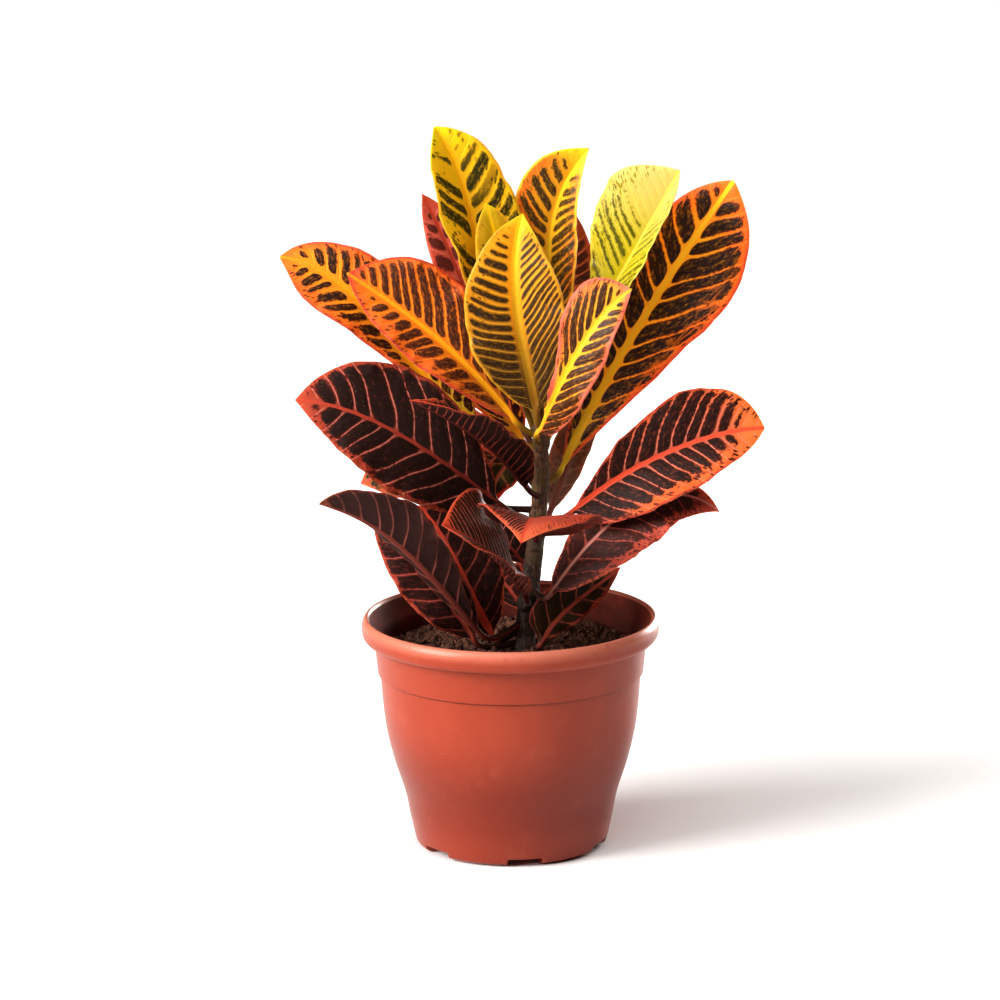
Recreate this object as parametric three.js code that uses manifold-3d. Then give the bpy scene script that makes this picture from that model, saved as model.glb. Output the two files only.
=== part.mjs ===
// A potted croton: a plastic nursery pot, its potting mix, a woody stem and thirty-one leaves.
// Millimetres, +Z up. The origin is on the floor, in the middle of the pot's underside.
import * as THREE from "three";
import { mergeVertices } from "three/addons/utils/BufferGeometryUtils.js";
import Module from "manifold-3d";

const wasm = await Module();
wasm.setup();

// Pot
const RIM_RADIUS = 70.3;
const RIM_TOP = 110.4;
const RIM_INNER_RADIUS = 66.7;
const BEAD_WIDEST = 105;
const BEAD_FOOT = 99.6;
const BAND_TOP_RADIUS = 64.3;
const BAND_FOOT = 83.6;
const BAND_FOOT_RADIUS = 62.7;
const STEP_HEIGHT = 82.3;
const WALL = 2;
const BODY_OUTLINE = [[45.8, 4], [48, 14], [50.4, 26], [55.6, 42.5], [59.4, 60], [61.5, STEP_HEIGHT]];
const BODY_STEPS = 6;
const FOOT_RADIUS = 42;
const FOOT_INNER_RADIUS = 33.5;
const FOOT_HEIGHT = 3.7;
const FOOT_CORNER = [44.9, 1.4];
const FLOOR_TOP = 6;
const BOSS_RADIUS = 8;
const PAD_COUNT = 6;
const PAD_GAP_ANGLE = 21;
const FIRST_GAP_ANGLE = 8;
const DRAIN_RADIUS = 4;
const DRAIN_RING_RADIUS = 22;
const POT_SEGMENTS = 40;

// Potting mix
const SOIL_LEVEL = 93;
const SOIL_LUMP = 1.6;
const SOIL_RINGS = 6;
const SOIL_SEGMENTS = 40;
const CLEARANCE = 0.3;

// Stem
const STEM_PATH = [[9, 0, 56], [7.3, 1, 105], [13.2, 3, 154], [14, 0, 203]];
const STEM_FOOT_RADIUS = 5.4;
const STEM_TOP_RADIUS = 3.2;
const STEM_SIDES = 12;
const STEM_STEPS = 30;
const SCAR_HEIGHT = 0.9;
const STUB_RADIUS = 3.6;
const STUB_REACH = 5.5;
const STUB_LEVEL = 116;
const STUB_ANGLE = -112;

// Leaves
const BLADE_THICKNESS = 0.7;
const PETIOLE_RADIUS = 1.4;
const PETIOLE_STEPS = 3;
const TIP_HALF_WIDTH = 0.6;
const COLUMNS = [-1, -0.5, 0, 0.5, 1];
const SPAN_LENGTH = 10.5;

// What a leaf has unless its own entry says otherwise: the widest place of its left and right half
// along the blade, how full its outline is, fold from base to tip and curl across it in degrees,
// its waved margin and a narrower place in its outline.
const PLAIN_LEAF = {
  widest: [0.5, 0.5],
  fullness: 0.75,
  fold: [24, 12],
  curl: 14,
  wave: { height: 1.2, count: 3, phase: 0 },
  waist: { at: 0.5, depth: 0 },
};

// Each leaf: the height at which its petiole leaves the stem, four points along its midrib from
// the blade's base to its tip, the way its upper face looks, and the widths of its two halves.
const LEAVES = [
  {
    name: "leaf_top_left",
    node: 190,
    rib: [[0, 11, 227], [-11, 17, 264], [-19, 23, 303], [-34, 25, 339]],
    face: [0.55, -0.8, 0.25],
    half: [23, 23],
    widest: [0.7, 0.6],
    fold: [30, 30],
    wave: { height: 1.6, count: 3.5, phase: 0.2 },
    fullness: 0.62,
  },
  {
    name: "leaf_bud",
    node: 200,
    rib: [[3, 8, 236], [-1, 10, 260], [-5, 12, 284], [-10, 12, 305]],
    face: [0.2, -0.95, 0.2],
    half: [11, 11],
    widest: [0.6, 0.6],
    fold: [20, 10],
  },
  {
    name: "leaf_centre",
    node: 197,
    rib: [[13, -4, 208], [7, -2, 238], [3, 1, 269], [7, 7, 301]],
    face: [-0.1, -0.97, 0.2],
    half: [25, 24],
    fold: [24, 20],
  },
  {
    name: "leaf_top_middle",
    node: 197,
    rib: [[17, 18, 228], [19, 27, 260], [21, 33, 293], [38, 33, 327]],
    face: [-0.3, -0.92, 0.25],
    half: [20, 19],
    widest: [0.76, 0.5],
    fold: [40, 36],
  },
  {
    name: "leaf_top_middle_back",
    node: 193,
    rib: [[25, 27, 227], [28, 36, 249], [30, 42, 271], [31, 44, 295]],
    face: [0, -0.97, 0.2],
    half: [12, 12],
  },
  {
    name: "leaf_top_right",
    node: 194,
    rib: [[25, 6, 218], [42, 10, 252], [61, 15, 285], [80, 18, 319]],
    face: [-0.7, -0.66, 0.3],
    half: [28, 21],
    widest: [0.8, 0.64],
    fold: [38, 38],
    fullness: 0.53,
  },
  {
    name: "leaf_right_upper",
    node: 172,
    rib: [[24, 8, 178], [46, 18, 219], [75, 30, 265], [106, 34, 311]],
    face: [-0.1, -0.9, 0.4],
    half: [22, 31],
    widest: [0.68, 0.7],
    fold: [20, 8],
    wave: { height: 1.6, count: 3, phase: 0.4 },
    waist: { at: 0.47, depth: 0.08 },
    fullness: 0.6,
  },
  {
    name: "leaf_small_front",
    node: 193,
    rib: [[13, -7, 199], [22, -14, 221], [37, -20, 249], [57, -18, 270]],
    face: [-0.3, -0.9, 0.3],
    half: [18, 16],
    widest: [0.8, 0.45],
  },
  {
    name: "leaf_left_upper_front",
    node: 195,
    rib: [[3, -1, 204], [-24, -1, 235], [-50, 1, 257], [-75, 4, 274]],
    face: [0, -0.85, 0.5],
    half: [17, 27],
    widest: [0.5, 0.6],
  },
  {
    name: "leaf_left_upper",
    node: 188,
    rib: [[-14, 8, 202], [-44, 14, 227], [-73, 20, 260], [-107, 24, 278]],
    face: [0, -0.85, 0.5],
    half: [17, 23],
    widest: [0.76, 0.52],
    fullness: 0.68,
  },
  {
    name: "leaf_left_middle",
    node: 151,
    rib: [[-5, -7, 166], [-37, -14, 192], [-68, -19, 211], [-99, -20, 219]],
    face: [0, -0.85, 0.5],
    half: [28, 29.5],
    widest: [0.42, 0.53],
  },
  {
    name: "leaf_front_left",
    node: 166,
    rib: [[8, -8, 174], [-6, -26, 195], [-24, -44, 213], [-45, -58, 227]],
    face: [0.3, 0.1, 0.95],
    half: [20, 18],
    widest: [0.5, 0.42],
    fold: [38, 30],
  },
  {
    name: "leaf_right_middle",
    node: 154,
    rib: [[29, -5, 161], [57, -9, 182], [89, -12, 197], [119, -10, 202]],
    face: [0, -0.85, 0.5],
    half: [24, 24],
    widest: [0.68, 0.42],
    fullness: 0.62,
  },
  {
    name: "leaf_front",
    node: 145,
    rib: [[13, -10, 151], [12, -38, 163], [10, -66, 173.2], [5, -88, 167]],
    face: [0.11, 0, 0.99],
    half: [32, 27],
    fold: [15, 15],
    waist: { at: 0.95, depth: 0.3 },
  },
  {
    name: "leaf_left_folded",
    node: 112,
    rib: [[7, -10, 123], [-2, -25, 140], [-15, -40, 155], [-31, -52, 167]],
    face: [0.2, -0.5, 0.85],
    half: [17, 26],
    fold: [38, 30],
    widest: [0.5, 0.7],
  },
  {
    name: "leaf_left_lower",
    node: 107,
    rib: [[-14, -18, 106], [-37, -29, 137], [-60, -34, 160], [-88, -34, 173]],
    face: [-0.2, 0.5, 0.8],
    half: [21, 9],
    fold: [36, 30],
    widest: [0.66, 0.5],
    fullness: 0.6,
  },
  {
    name: "leaf_left_low_inner",
    node: 104,
    rib: [[-8, -5, 101], [-19, -4, 122], [-30, -1, 144], [-44, 2, 163]],
    face: [0.25, -0.9, 0.35],
    half: [18, 20],
  },
  {
    name: "leaf_left_low_outer",
    node: 97,
    rib: [[-17, -11, 101], [-29, -16, 121], [-45, -16, 141], [-64, -11, 160]],
    face: [-0.2, -0.9, 0.35],
    half: [15, 14],
  },
  {
    name: "leaf_right_lower",
    node: 123,
    rib: [[19, -14, 124], [40, -10, 150], [68, -6, 168], [98, -9, 162]],
    face: [0, -0.7, 0.7],
    half: [12, 24],
    widest: [0.5, 0.5],
  },
  {
    name: "leaf_right_low",
    node: 98,
    rib: [[14, -8, 98], [24, -4, 111], [37, 1, 121], [52, 8, 131]],
    face: [0.3, -0.9, 0.3],
    half: [14, 8],
    widest: [0.35, 0.5],
    fold: [10, 10],
  },
  {
    name: "leaf_left_behind",
    node: 160,
    rib: [[-14, 4, 165], [-33, 7, 174], [-52, 9, 177], [-70, 10, 172]],
    face: [0, -0.8, 0.6],
    half: [15, 15],
  },
  {
    name: "leaf_small_behind",
    node: 173,
    rib: [[5, 7, 182], [0, 11, 181], [-6, 13, 173], [-8, 12, 160]],
    face: [0.2, -0.9, 0.3],
    half: [9, 7],
  },
  {
    name: "leaf_top_left_back",
    node: 184,
    rib: [[-4, 19, 218], [-16, 28, 250], [-28, 35, 279], [-40, 37, 305]],
    face: [0.2, -0.9, 0.3],
    half: [11, 14],
  },
  {
    name: "leaf_right_behind",
    node: 150,
    rib: [[19, 9, 158], [26, 15, 176], [35, 24, 196], [50, 34, 221]],
    face: [0.2, 0.9, 0.4],
    half: [8, 10],
  },
  {
    name: "leaf_back_high",
    node: 188,
    rib: [[15, 14, 194], [17, 43, 218], [18, 75, 240], [18, 105, 250]],
    face: [0, -0.5, 0.85],
    half: [22, 22],
  },
  {
    name: "leaf_back_left_high",
    node: 181,
    rib: [[7, 15, 190], [-6, 40, 206], [-20, 66, 219], [-36, 92, 226]],
    face: [0, -0.5, 0.85],
    half: [22, 22],
    widest: [0.6, 0.6],
  },
  {
    name: "leaf_back_right_high",
    node: 183,
    rib: [[19, 21, 192], [32, 48, 205], [46, 75, 215], [61, 100, 220]],
    face: [0, -0.5, 0.85],
    half: [22, 22],
    widest: [0.6, 0.6],
  },
  {
    name: "leaf_back_left_middle",
    node: 168,
    rib: [[6, 19, 175], [-9, 43, 179], [-28, 68, 183], [-48, 90, 183]],
    face: [0, -0.4, 0.9],
    half: [20, 20],
    widest: [0.6, 0.6],
  },
  {
    name: "leaf_back_left_low",
    node: 124,
    rib: [[7, 12, 131], [-6, 36, 140], [-23, 60, 146], [-42, 82, 150]],
    face: [0, -0.4, 0.9],
    half: [17, 17],
  },
  {
    name: "leaf_back_right_low",
    node: 112,
    rib: [[17, 12, 117], [38, 34, 126], [59, 51, 137], [79, 62, 146]],
    face: [0.2, -0.2, 0.95],
    half: [6, 14],
  },
  {
    name: "leaf_back_low",
    node: 104,
    rib: [[6, 11, 109], [-3, 38, 116], [-14, 62, 120], [-24, 84, 116]],
    face: [0, -0.2, 1],
    half: [17, 13],
  },
];

// Finishes
const POT_PLASTIC = new THREE.MeshStandardMaterial({ color: 0xc8543a, roughness: 0.45, metalness: 0 });
const POTTING_MIX = new THREE.MeshStandardMaterial({ color: 0x2e1f18, roughness: 0.95, metalness: 0 });
const BARK = new THREE.MeshStandardMaterial({ color: 0x5a3b26, roughness: 0.8, metalness: 0 });
const LEAF_SKIN = new THREE.MeshStandardMaterial({ color: 0xd97a2b, roughness: 0.4, metalness: 0 });

const croton = new THREE.Group();

function radians(degrees) {
  return (degrees * Math.PI) / 180;
}

// A closed geometry as a solid that can be joined and cut.
function solidOf(geometry) {
  const loose = geometry.index ? geometry.toNonIndexed() : geometry;
  const bare = new THREE.BufferGeometry();
  bare.setAttribute("position", loose.getAttribute("position"));
  const merged = mergeVertices(bare, 1e-4);
  const corners = [];
  for (let i = 0; i < merged.index.count; i += 3) {
    const [a, b, c] = [0, 1, 2].map((k) => merged.index.getX(i + k));
    if (a !== b && b !== c && c !== a) corners.push(a, b, c);
  }
  return new wasm.Manifold(
    new wasm.Mesh({
      numProp: 3,
      vertProperties: merged.attributes.position.array,
      triVerts: new Uint32Array(corners),
    }),
  );
}

// Adds a solid to the plant as one named mesh.
function place(name, solid, material) {
  const { vertProperties, triVerts } = solid.getMesh();
  const geometry = new THREE.BufferGeometry();
  geometry.setAttribute("position", new THREE.BufferAttribute(vertProperties, 3));
  geometry.setIndex(new THREE.BufferAttribute(triVerts, 1));
  geometry.computeVertexNormals();
  const mesh = new THREE.Mesh(geometry, material);
  mesh.name = name;
  croton.add(mesh);
}

// A closed skin over rings of points, each ring counter-clockwise about the way ahead. A ring's
// second half is split along the same diagonals as its first, so thin blades stay even.
function loft(rings) {
  const size = rings[0].length;
  const points = rings.flat();
  const faces = [];
  for (let j = 0; j + 1 < rings.length; j++) {
    for (let k = 0; k < size; k++) {
      const next = (k + 1) % size;
      const [a, b] = [j * size + k, j * size + next];
      const [c, d] = [(j + 1) * size + next, (j + 1) * size + k];
      if (k < size / 2) faces.push(a, b, c, a, c, d);
      else faces.push(a, b, d, b, c, d);
    }
  }
  const middle = (ring) => ring.reduce((sum, p) => sum.add(p), new THREE.Vector3()).divideScalar(size);
  const last = (rings.length - 1) * size;
  points.push(middle(rings[0]), middle(rings[rings.length - 1]));
  for (let k = 0; k < size; k++) {
    const next = (k + 1) % size;
    faces.push(points.length - 2, next, k, points.length - 1, last + k, last + next);
  }
  const geometry = new THREE.BufferGeometry().setFromPoints(points);
  geometry.setIndex(faces);
  return geometry;
}

// The cubic that passes four points, evenly spaced in t from 0 to 1.
function cubic(points, t) {
  const u = 3 * t;
  const weights = [
    ((1 - u) * (2 - u) * (3 - u)) / 6,
    (u * (2 - u) * (3 - u)) / 2,
    (u * (u - 1) * (3 - u)) / 2,
    (u * (u - 1) * (u - 2)) / 6,
  ];
  const sum = new THREE.Vector3();
  points.forEach((p, i) => sum.addScaledVector(new THREE.Vector3(...p), weights[i]));
  return sum;
}

function cubicDirection(points, t) {
  const step = 0.01;
  return cubic(points, t + step).sub(cubic(points, t - step)).normalize();
}

// Pot

// The outer outline of the pot's body, from its foot up to the small step below the band.
function bodyOutline() {
  const curve = new THREE.SplineCurve(BODY_OUTLINE.map(([r, z]) => new THREE.Vector2(r, z)));
  return curve.getPoints(BODY_STEPS);
}

// The inner wall, bottom to top, a wall's thickness inside the outer outline.
function innerOutline() {
  const body = bodyOutline().filter((p) => p.y > FLOOR_TOP + 3);
  return [
    new THREE.Vector2(body[0].x - WALL - 2, FLOOR_TOP),
    ...body.map((p) => new THREE.Vector2(p.x - WALL, p.y)),
    new THREE.Vector2(BAND_FOOT_RADIUS - WALL, BAND_FOOT),
    new THREE.Vector2(BAND_TOP_RADIUS - WALL, BEAD_FOOT),
  ];
}

function potProfile() {
  const bead = [
    [BAND_TOP_RADIUS, BEAD_FOOT],
    [RIM_RADIUS - 2, BEAD_FOOT + 0.3],
    [RIM_RADIUS - 0.6, BEAD_WIDEST - 3.4],
    [RIM_RADIUS, BEAD_WIDEST],
    [RIM_RADIUS - 0.4, RIM_TOP - 2.4],
    [RIM_RADIUS - 1.7, RIM_TOP - 0.4],
    [RIM_INNER_RADIUS + 0.8, RIM_TOP],
    [RIM_INNER_RADIUS, RIM_TOP - 1.2],
    [RIM_INNER_RADIUS - 1.6, RIM_TOP - 6],
  ];
  return [
    [0, 0],
    [BOSS_RADIUS, 0],
    [BOSS_RADIUS + 0.6, FOOT_HEIGHT],
    [FOOT_INNER_RADIUS, FOOT_HEIGHT],
    [FOOT_INNER_RADIUS + 0.6, 0],
    [FOOT_RADIUS, 0],
    FOOT_CORNER,
    ...bodyOutline().map((p) => [p.x, p.y]),
    [BAND_FOOT_RADIUS, BAND_FOOT],
    ...bead,
    ...innerOutline().reverse().map((p) => [p.x, p.y]),
    [0, FLOOR_TOP],
  ].map(([r, z]) => new THREE.Vector2(r, z));
}

// A turned shape: the lathe's own axis is y, so it is tipped up and faced outwards.
function turned(profile, segments) {
  return solidOf(new THREE.LatheGeometry(profile, segments).rotateX(Math.PI / 2));
}

function buildPot() {
  let pot = turned(potProfile(), POT_SEGMENTS);
  const gapWidth = 2 * FOOT_RADIUS * Math.sin(radians(PAD_GAP_ANGLE / 2));
  for (let i = 0; i < PAD_COUNT; i++) {
    const turn = radians(FIRST_GAP_ANGLE - 90 + (i * 360) / PAD_COUNT);
    const gap = new THREE.BoxGeometry(16, gapWidth, 2 * FOOT_HEIGHT);
    gap.translate(FOOT_RADIUS + 1, 0, 0);
    pot = pot.subtract(solidOf(gap.rotateZ(turn)));
    const drain = new THREE.CylinderGeometry(DRAIN_RADIUS, DRAIN_RADIUS, 4 * FLOOR_TOP, 16);
    drain.rotateX(Math.PI / 2).translate(DRAIN_RING_RADIUS, 0, 0);
    pot = pot.subtract(solidOf(drain.rotateZ(turn)));
  }
  return pot;
}

// Stem

function stemRadius(t) {
  return STEM_FOOT_RADIUS + (STEM_TOP_RADIUS - STEM_FOOT_RADIUS) * t;
}

// Where along the stem, 0 at its foot to 1 at its top, a height lies.
function stemPlace(height) {
  return (height - STEM_PATH[0][2]) / (STEM_PATH[3][2] - STEM_PATH[0][2]);
}

function stemPoint(height) {
  return cubic(STEM_PATH, stemPlace(height));
}

// How far the stem swells at a height and an angle, under each petiole.
function scarSwelling(height, angle) {
  let swelling = 0;
  for (const leaf of LEAVES) {
    const axis = stemPoint(leaf.node);
    const toward = Math.atan2(leaf.rib[0][1] - axis.y, leaf.rib[0][0] - axis.x);
    const around = Math.cos(angle - toward);
    const along = (height - leaf.node + 1) / 2.4;
    if (around > 0) swelling += SCAR_HEIGHT * around ** 3 * Math.exp(-along * along);
  }
  return Math.min(swelling, 1.5 * SCAR_HEIGHT);
}

// The stem's skin, grown by a margin on every side.
function stemSkin(margin) {
  const rings = [];
  for (let j = 0; j <= STEM_STEPS; j++) {
    const t = j / STEM_STEPS;
    const centre = cubic(STEM_PATH, t);
    if (j === 0) centre.z -= margin;
    if (j === STEM_STEPS) centre.z += margin;
    const round = j === STEM_STEPS ? 0.6 : 1;
    const ring = [];
    for (let k = 0; k < STEM_SIDES; k++) {
      const angle = (2 * Math.PI * k) / STEM_SIDES;
      const reach = round * stemRadius(t) + margin + scarSwelling(centre.z, angle);
      ring.push(new THREE.Vector3(Math.cos(angle), Math.sin(angle), 0).multiplyScalar(reach).add(centre));
    }
    rings.push(ring);
  }
  return solidOf(loft(rings));
}

// A round stub on the lower stem, where a side shoot was cut off.
function stubKnob(margin) {
  const ball = new THREE.SphereGeometry(STUB_RADIUS + margin, 12, 8);
  const out = new THREE.Vector3(Math.cos(radians(STUB_ANGLE)), Math.sin(radians(STUB_ANGLE)), 0);
  const centre = stemPoint(STUB_LEVEL).addScaledVector(out, STUB_REACH);
  return solidOf(ball.translate(centre.x, centre.y, centre.z));
}

function buildStem(margin) {
  return stemSkin(margin).add(stubKnob(margin));
}

// Potting mix

// The uneven top of the mix: low waves and small lumps.
function soilLevel(x, y) {
  const waves = Math.sin(0.11 * x + 0.4) * Math.cos(0.13 * y - 0.7);
  const lumps = Math.sin(0.61 * x + 1.3 * Math.sin(0.4 * y)) * Math.sin(0.53 * y + 0.9 * Math.sin(0.37 * x));
  return SOIL_LEVEL + SOIL_LUMP * (0.6 * waves + 0.55 * lumps);
}

function buildSoil(stemSpace) {
  const wall = innerOutline().filter((p) => p.y < SOIL_LEVEL - 4);
  const share = (SOIL_LEVEL - BAND_FOOT) / (BEAD_FOOT - BAND_FOOT);
  const topWall = BAND_FOOT_RADIUS + share * (BAND_TOP_RADIUS - BAND_FOOT_RADIUS);
  const topRadius = topWall - WALL - CLEARANCE;
  const circle = (radius, level) => {
    const ring = [];
    for (let k = 0; k < SOIL_SEGMENTS; k++) {
      const angle = (2 * Math.PI * k) / SOIL_SEGMENTS;
      const [x, y] = [radius * Math.cos(angle), radius * Math.sin(angle)];
      ring.push(new THREE.Vector3(x, y, level(x, y)));
    }
    return ring;
  };
  const rings = wall.map((p, i) => circle(p.x - CLEARANCE, () => p.y + (i === 0 ? CLEARANCE : 0)));
  for (let j = 0; j < SOIL_RINGS; j++) {
    rings.push(circle(topRadius * Math.cos((0.5 * Math.PI * j) / SOIL_RINGS), soilLevel));
  }
  return solidOf(loft(rings)).subtract(stemSpace);
}

// Leaves

// The width of a blade's left half (0) or right half (1) at s, 0 at its base to 1 at its tip.
function halfWidth(leaf, s, which) {
  const bell = Math.sin(Math.PI * s ** (Math.log(0.5) / Math.log(leaf.widest[which]))) ** leaf.fullness;
  const pinch = 1 - leaf.waist.depth * Math.exp(-(((s - leaf.waist.at) / 0.1) ** 2));
  return Math.max(leaf.half[which] * bell * pinch, TIP_HALF_WIDTH);
}

// The blade's own directions: to the right of the way ahead, and out of its upper face.
function leafFrame(leaf, ahead) {
  const face = new THREE.Vector3(...leaf.face);
  const side = new THREE.Vector3().crossVectors(ahead, face).normalize();
  return { side, up: new THREE.Vector3().crossVectors(side, ahead) };
}

// A point on the upper face: s runs along the midrib, v from -1 to 1 across it.
function bladePoint(leaf, s, v) {
  const { side, up } = leafFrame(leaf, cubicDirection(leaf.rib, s));
  const out = Math.abs(v) * halfWidth(leaf, s, v < 0 ? 0 : 1);
  const fold = leaf.fold[0] + (leaf.fold[1] - leaf.fold[0]) * s;
  const tilt = radians(fold - (leaf.curl * Math.abs(v)) / 2);
  const { height, count, phase } = leaf.wave;
  const turn = 2 * Math.PI * (count * s + phase + (v < 0 ? 0.35 : 0));
  const wave = height * v * v * Math.sin(Math.PI * s) * Math.sin(turn);
  return cubic(leaf.rib, s)
    .addScaledVector(side, Math.sign(v) * out * Math.cos(tilt))
    .addScaledVector(up, out * Math.sin(tilt) + wave);
}

function bladeNormal(leaf, s, v) {
  const step = 0.02;
  const [left, right] = [Math.max(v - 0.25, -1), Math.min(v + 0.25, 1)];
  const across = bladePoint(leaf, s, right).sub(bladePoint(leaf, s, left));
  const along = bladePoint(leaf, Math.min(s + step, 1), v).sub(bladePoint(leaf, s - step, v));
  return across.cross(along).normalize();
}

function bladeRing(leaf, s) {
  const upper = COLUMNS.map((v) => bladePoint(leaf, s, v));
  const lower = COLUMNS.map((v, i) => {
    const keel = v === 0 ? 1.2 * (1 - s) : 0;
    return upper[i].clone().addScaledVector(bladeNormal(leaf, s, v), -BLADE_THICKNESS - keel);
  });
  return [...upper, ...lower.reverse()];
}

// A round section of the petiole, with a point for each one of a blade's section.
function petioleRing(leaf, centre, ahead) {
  const { side, up } = leafFrame(leaf, ahead);
  const spread = (v, sign) =>
    centre
      .clone()
      .addScaledVector(side, PETIOLE_RADIUS * Math.sin(radians(75 * v)))
      .addScaledVector(up, sign * PETIOLE_RADIUS * Math.cos(radians(75 * v)));
  return [...COLUMNS.map((v) => spread(v, 1)), ...COLUMNS.map((v) => spread(v, -1)).reverse()];
}

// The petiole's curve, from the stem's axis to the blade's base, which it meets in line.
function petioleCurve(leaf) {
  const start = stemPoint(leaf.node);
  const end = new THREE.Vector3(...leaf.rib[0]);
  const reach = end.distanceTo(start);
  const rise = start.clone().lerp(end, 0.3);
  const run = end.clone().addScaledVector(cubicDirection(leaf.rib, 0), -0.35 * reach);
  return new THREE.CubicBezierCurve3(start, rise, run, end);
}

function buildLeaf(leaf, stemSpace) {
  const petiole = petioleCurve(leaf);
  const rings = [];
  for (let j = 0; j <= PETIOLE_STEPS; j++) {
    const t = j / PETIOLE_STEPS;
    rings.push(petioleRing(leaf, petiole.getPoint(t), petiole.getTangent(t)));
  }
  const ends = [0, 3].map((i) => new THREE.Vector3(...leaf.rib[i]));
  const spans = Math.max(6, Math.round(ends[0].distanceTo(ends[1]) / SPAN_LENGTH));
  for (let j = 1; j <= spans; j++) {
    const t = j / spans;
    rings.push(bladeRing(leaf, 0.5 * t + 0.25 * (1 - Math.cos(Math.PI * t))));
  }
  return solidOf(loft(rings)).subtract(stemSpace);
}

const stemSpace = buildStem(CLEARANCE);
place("pot", buildPot(), POT_PLASTIC);
place("potting_mix", buildSoil(stemSpace), POTTING_MIX);
place("stem", buildStem(0), BARK);
for (const entry of LEAVES) {
  const leaf = { ...PLAIN_LEAF, ...entry };
  place(leaf.name, buildLeaf(leaf, stemSpace), LEAF_SKIN);
}

export default croton;
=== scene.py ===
"""A potted croton: its moulded plastic pot, potting mix, woody stem and variegated leaves.

Sizes are in millimetres, as on the real plant, and meshes are written in metres. +Z is up, the
pot stands on z = 0, and the photograph looks along +Y.
"""

from __future__ import annotations

import logging
import math
from dataclasses import dataclass, replace
from enum import Enum
from typing import Any, Callable, Sequence

import bpy
import numpy as np
from mathutils import Matrix, Vector


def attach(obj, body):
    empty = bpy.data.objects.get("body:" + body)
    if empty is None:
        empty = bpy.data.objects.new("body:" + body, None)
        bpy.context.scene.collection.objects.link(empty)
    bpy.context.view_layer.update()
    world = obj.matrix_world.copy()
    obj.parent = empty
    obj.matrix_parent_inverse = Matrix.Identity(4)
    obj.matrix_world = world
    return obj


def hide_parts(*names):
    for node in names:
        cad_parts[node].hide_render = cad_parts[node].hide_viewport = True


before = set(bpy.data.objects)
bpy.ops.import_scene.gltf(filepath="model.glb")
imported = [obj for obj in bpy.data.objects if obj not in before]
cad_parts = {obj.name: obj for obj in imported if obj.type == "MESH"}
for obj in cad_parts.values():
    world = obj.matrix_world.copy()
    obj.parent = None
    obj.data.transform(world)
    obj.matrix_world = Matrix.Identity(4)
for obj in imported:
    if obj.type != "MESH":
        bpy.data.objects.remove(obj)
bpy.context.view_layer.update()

MM = 0.001
ROOT = "root"
FULL_TURN = 2 * math.pi
log = logging.getLogger("croton")

Color = tuple[int, int, int]
Pair = tuple[float, float]
Point = tuple[float, float, float]


def linear(color: Color) -> tuple[float, float, float, float]:
    """Turn a display colour, 0 to 255 a channel, into the linear colour that a shader takes.

    Args:
        color: red, green and blue as a screen shows them.

    Returns:
        Linear red, green, blue and an alpha of one.
    """
    parts = [c / 255 for c in color]
    bent = [p / 12.92 if p <= 0.04045 else ((p + 0.055) / 1.055) ** 2.4 for p in parts]
    return (bent[0], bent[1], bent[2], 1.0)


# Node trees


def joined(operation: str, swapped: bool = False) -> Callable[[Wire, Any], Wire]:
    """Make the method that takes a wire and another value through a math node.

    Args:
        operation: the math node's operation.
        swapped: whether the other value comes first.

    Returns:
        The method.
    """

    def method(wire: Wire, other: Any) -> Wire:
        """Return the math node's result."""
        return wire.shader.math(operation, *((other, wire) if swapped else (wire, other)))

    return method


class Wire:
    """A value on its way through a node tree, which adds and multiplies as a number does."""

    __add__ = joined("ADD")
    __sub__ = joined("SUBTRACT")
    __rsub__ = joined("SUBTRACT", swapped=True)
    __mul__ = joined("MULTIPLY")
    __truediv__ = joined("DIVIDE")

    def __init__(self, shader: Tree, socket: bpy.types.NodeSocket) -> None:
        """Keep the node tree, and the socket that the value comes from."""
        self.shader, self.socket = shader, socket


class Tree:
    """A node tree in the making."""

    def __init__(self, tree: bpy.types.NodeTree) -> None:
        """Take the tree that the nodes go into."""
        self.tree = tree

    def put(self, kind: str, inputs: dict[Any, Any], **settings: Any) -> bpy.types.Node:
        """Add a node.

        Args:
            kind: the node's type, which for a shader node may lack its ShaderNode prefix.
            inputs: values, wires or sockets for its inputs, by name or index.
            settings: the node's own properties.

        Returns:
            The new node.
        """
        node = self.tree.nodes.new(kind if "Node" in kind else "ShaderNode" + kind)
        for key, value in settings.items():
            setattr(node, key, value)
        for key, value in inputs.items():
            value = value.socket if isinstance(value, Wire) else value
            if isinstance(value, bpy.types.NodeSocket):
                self.tree.links.new(value, node.inputs[key])
            else:
                node.inputs[key].default_value = value
        return node

    def wire(self, output: int, kind: str, inputs: dict[Any, Any], **settings: Any) -> Wire:
        """Add a node and return the wire from one of its outputs."""
        return Wire(self, self.put(kind, inputs, **settings).outputs[output])


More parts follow.
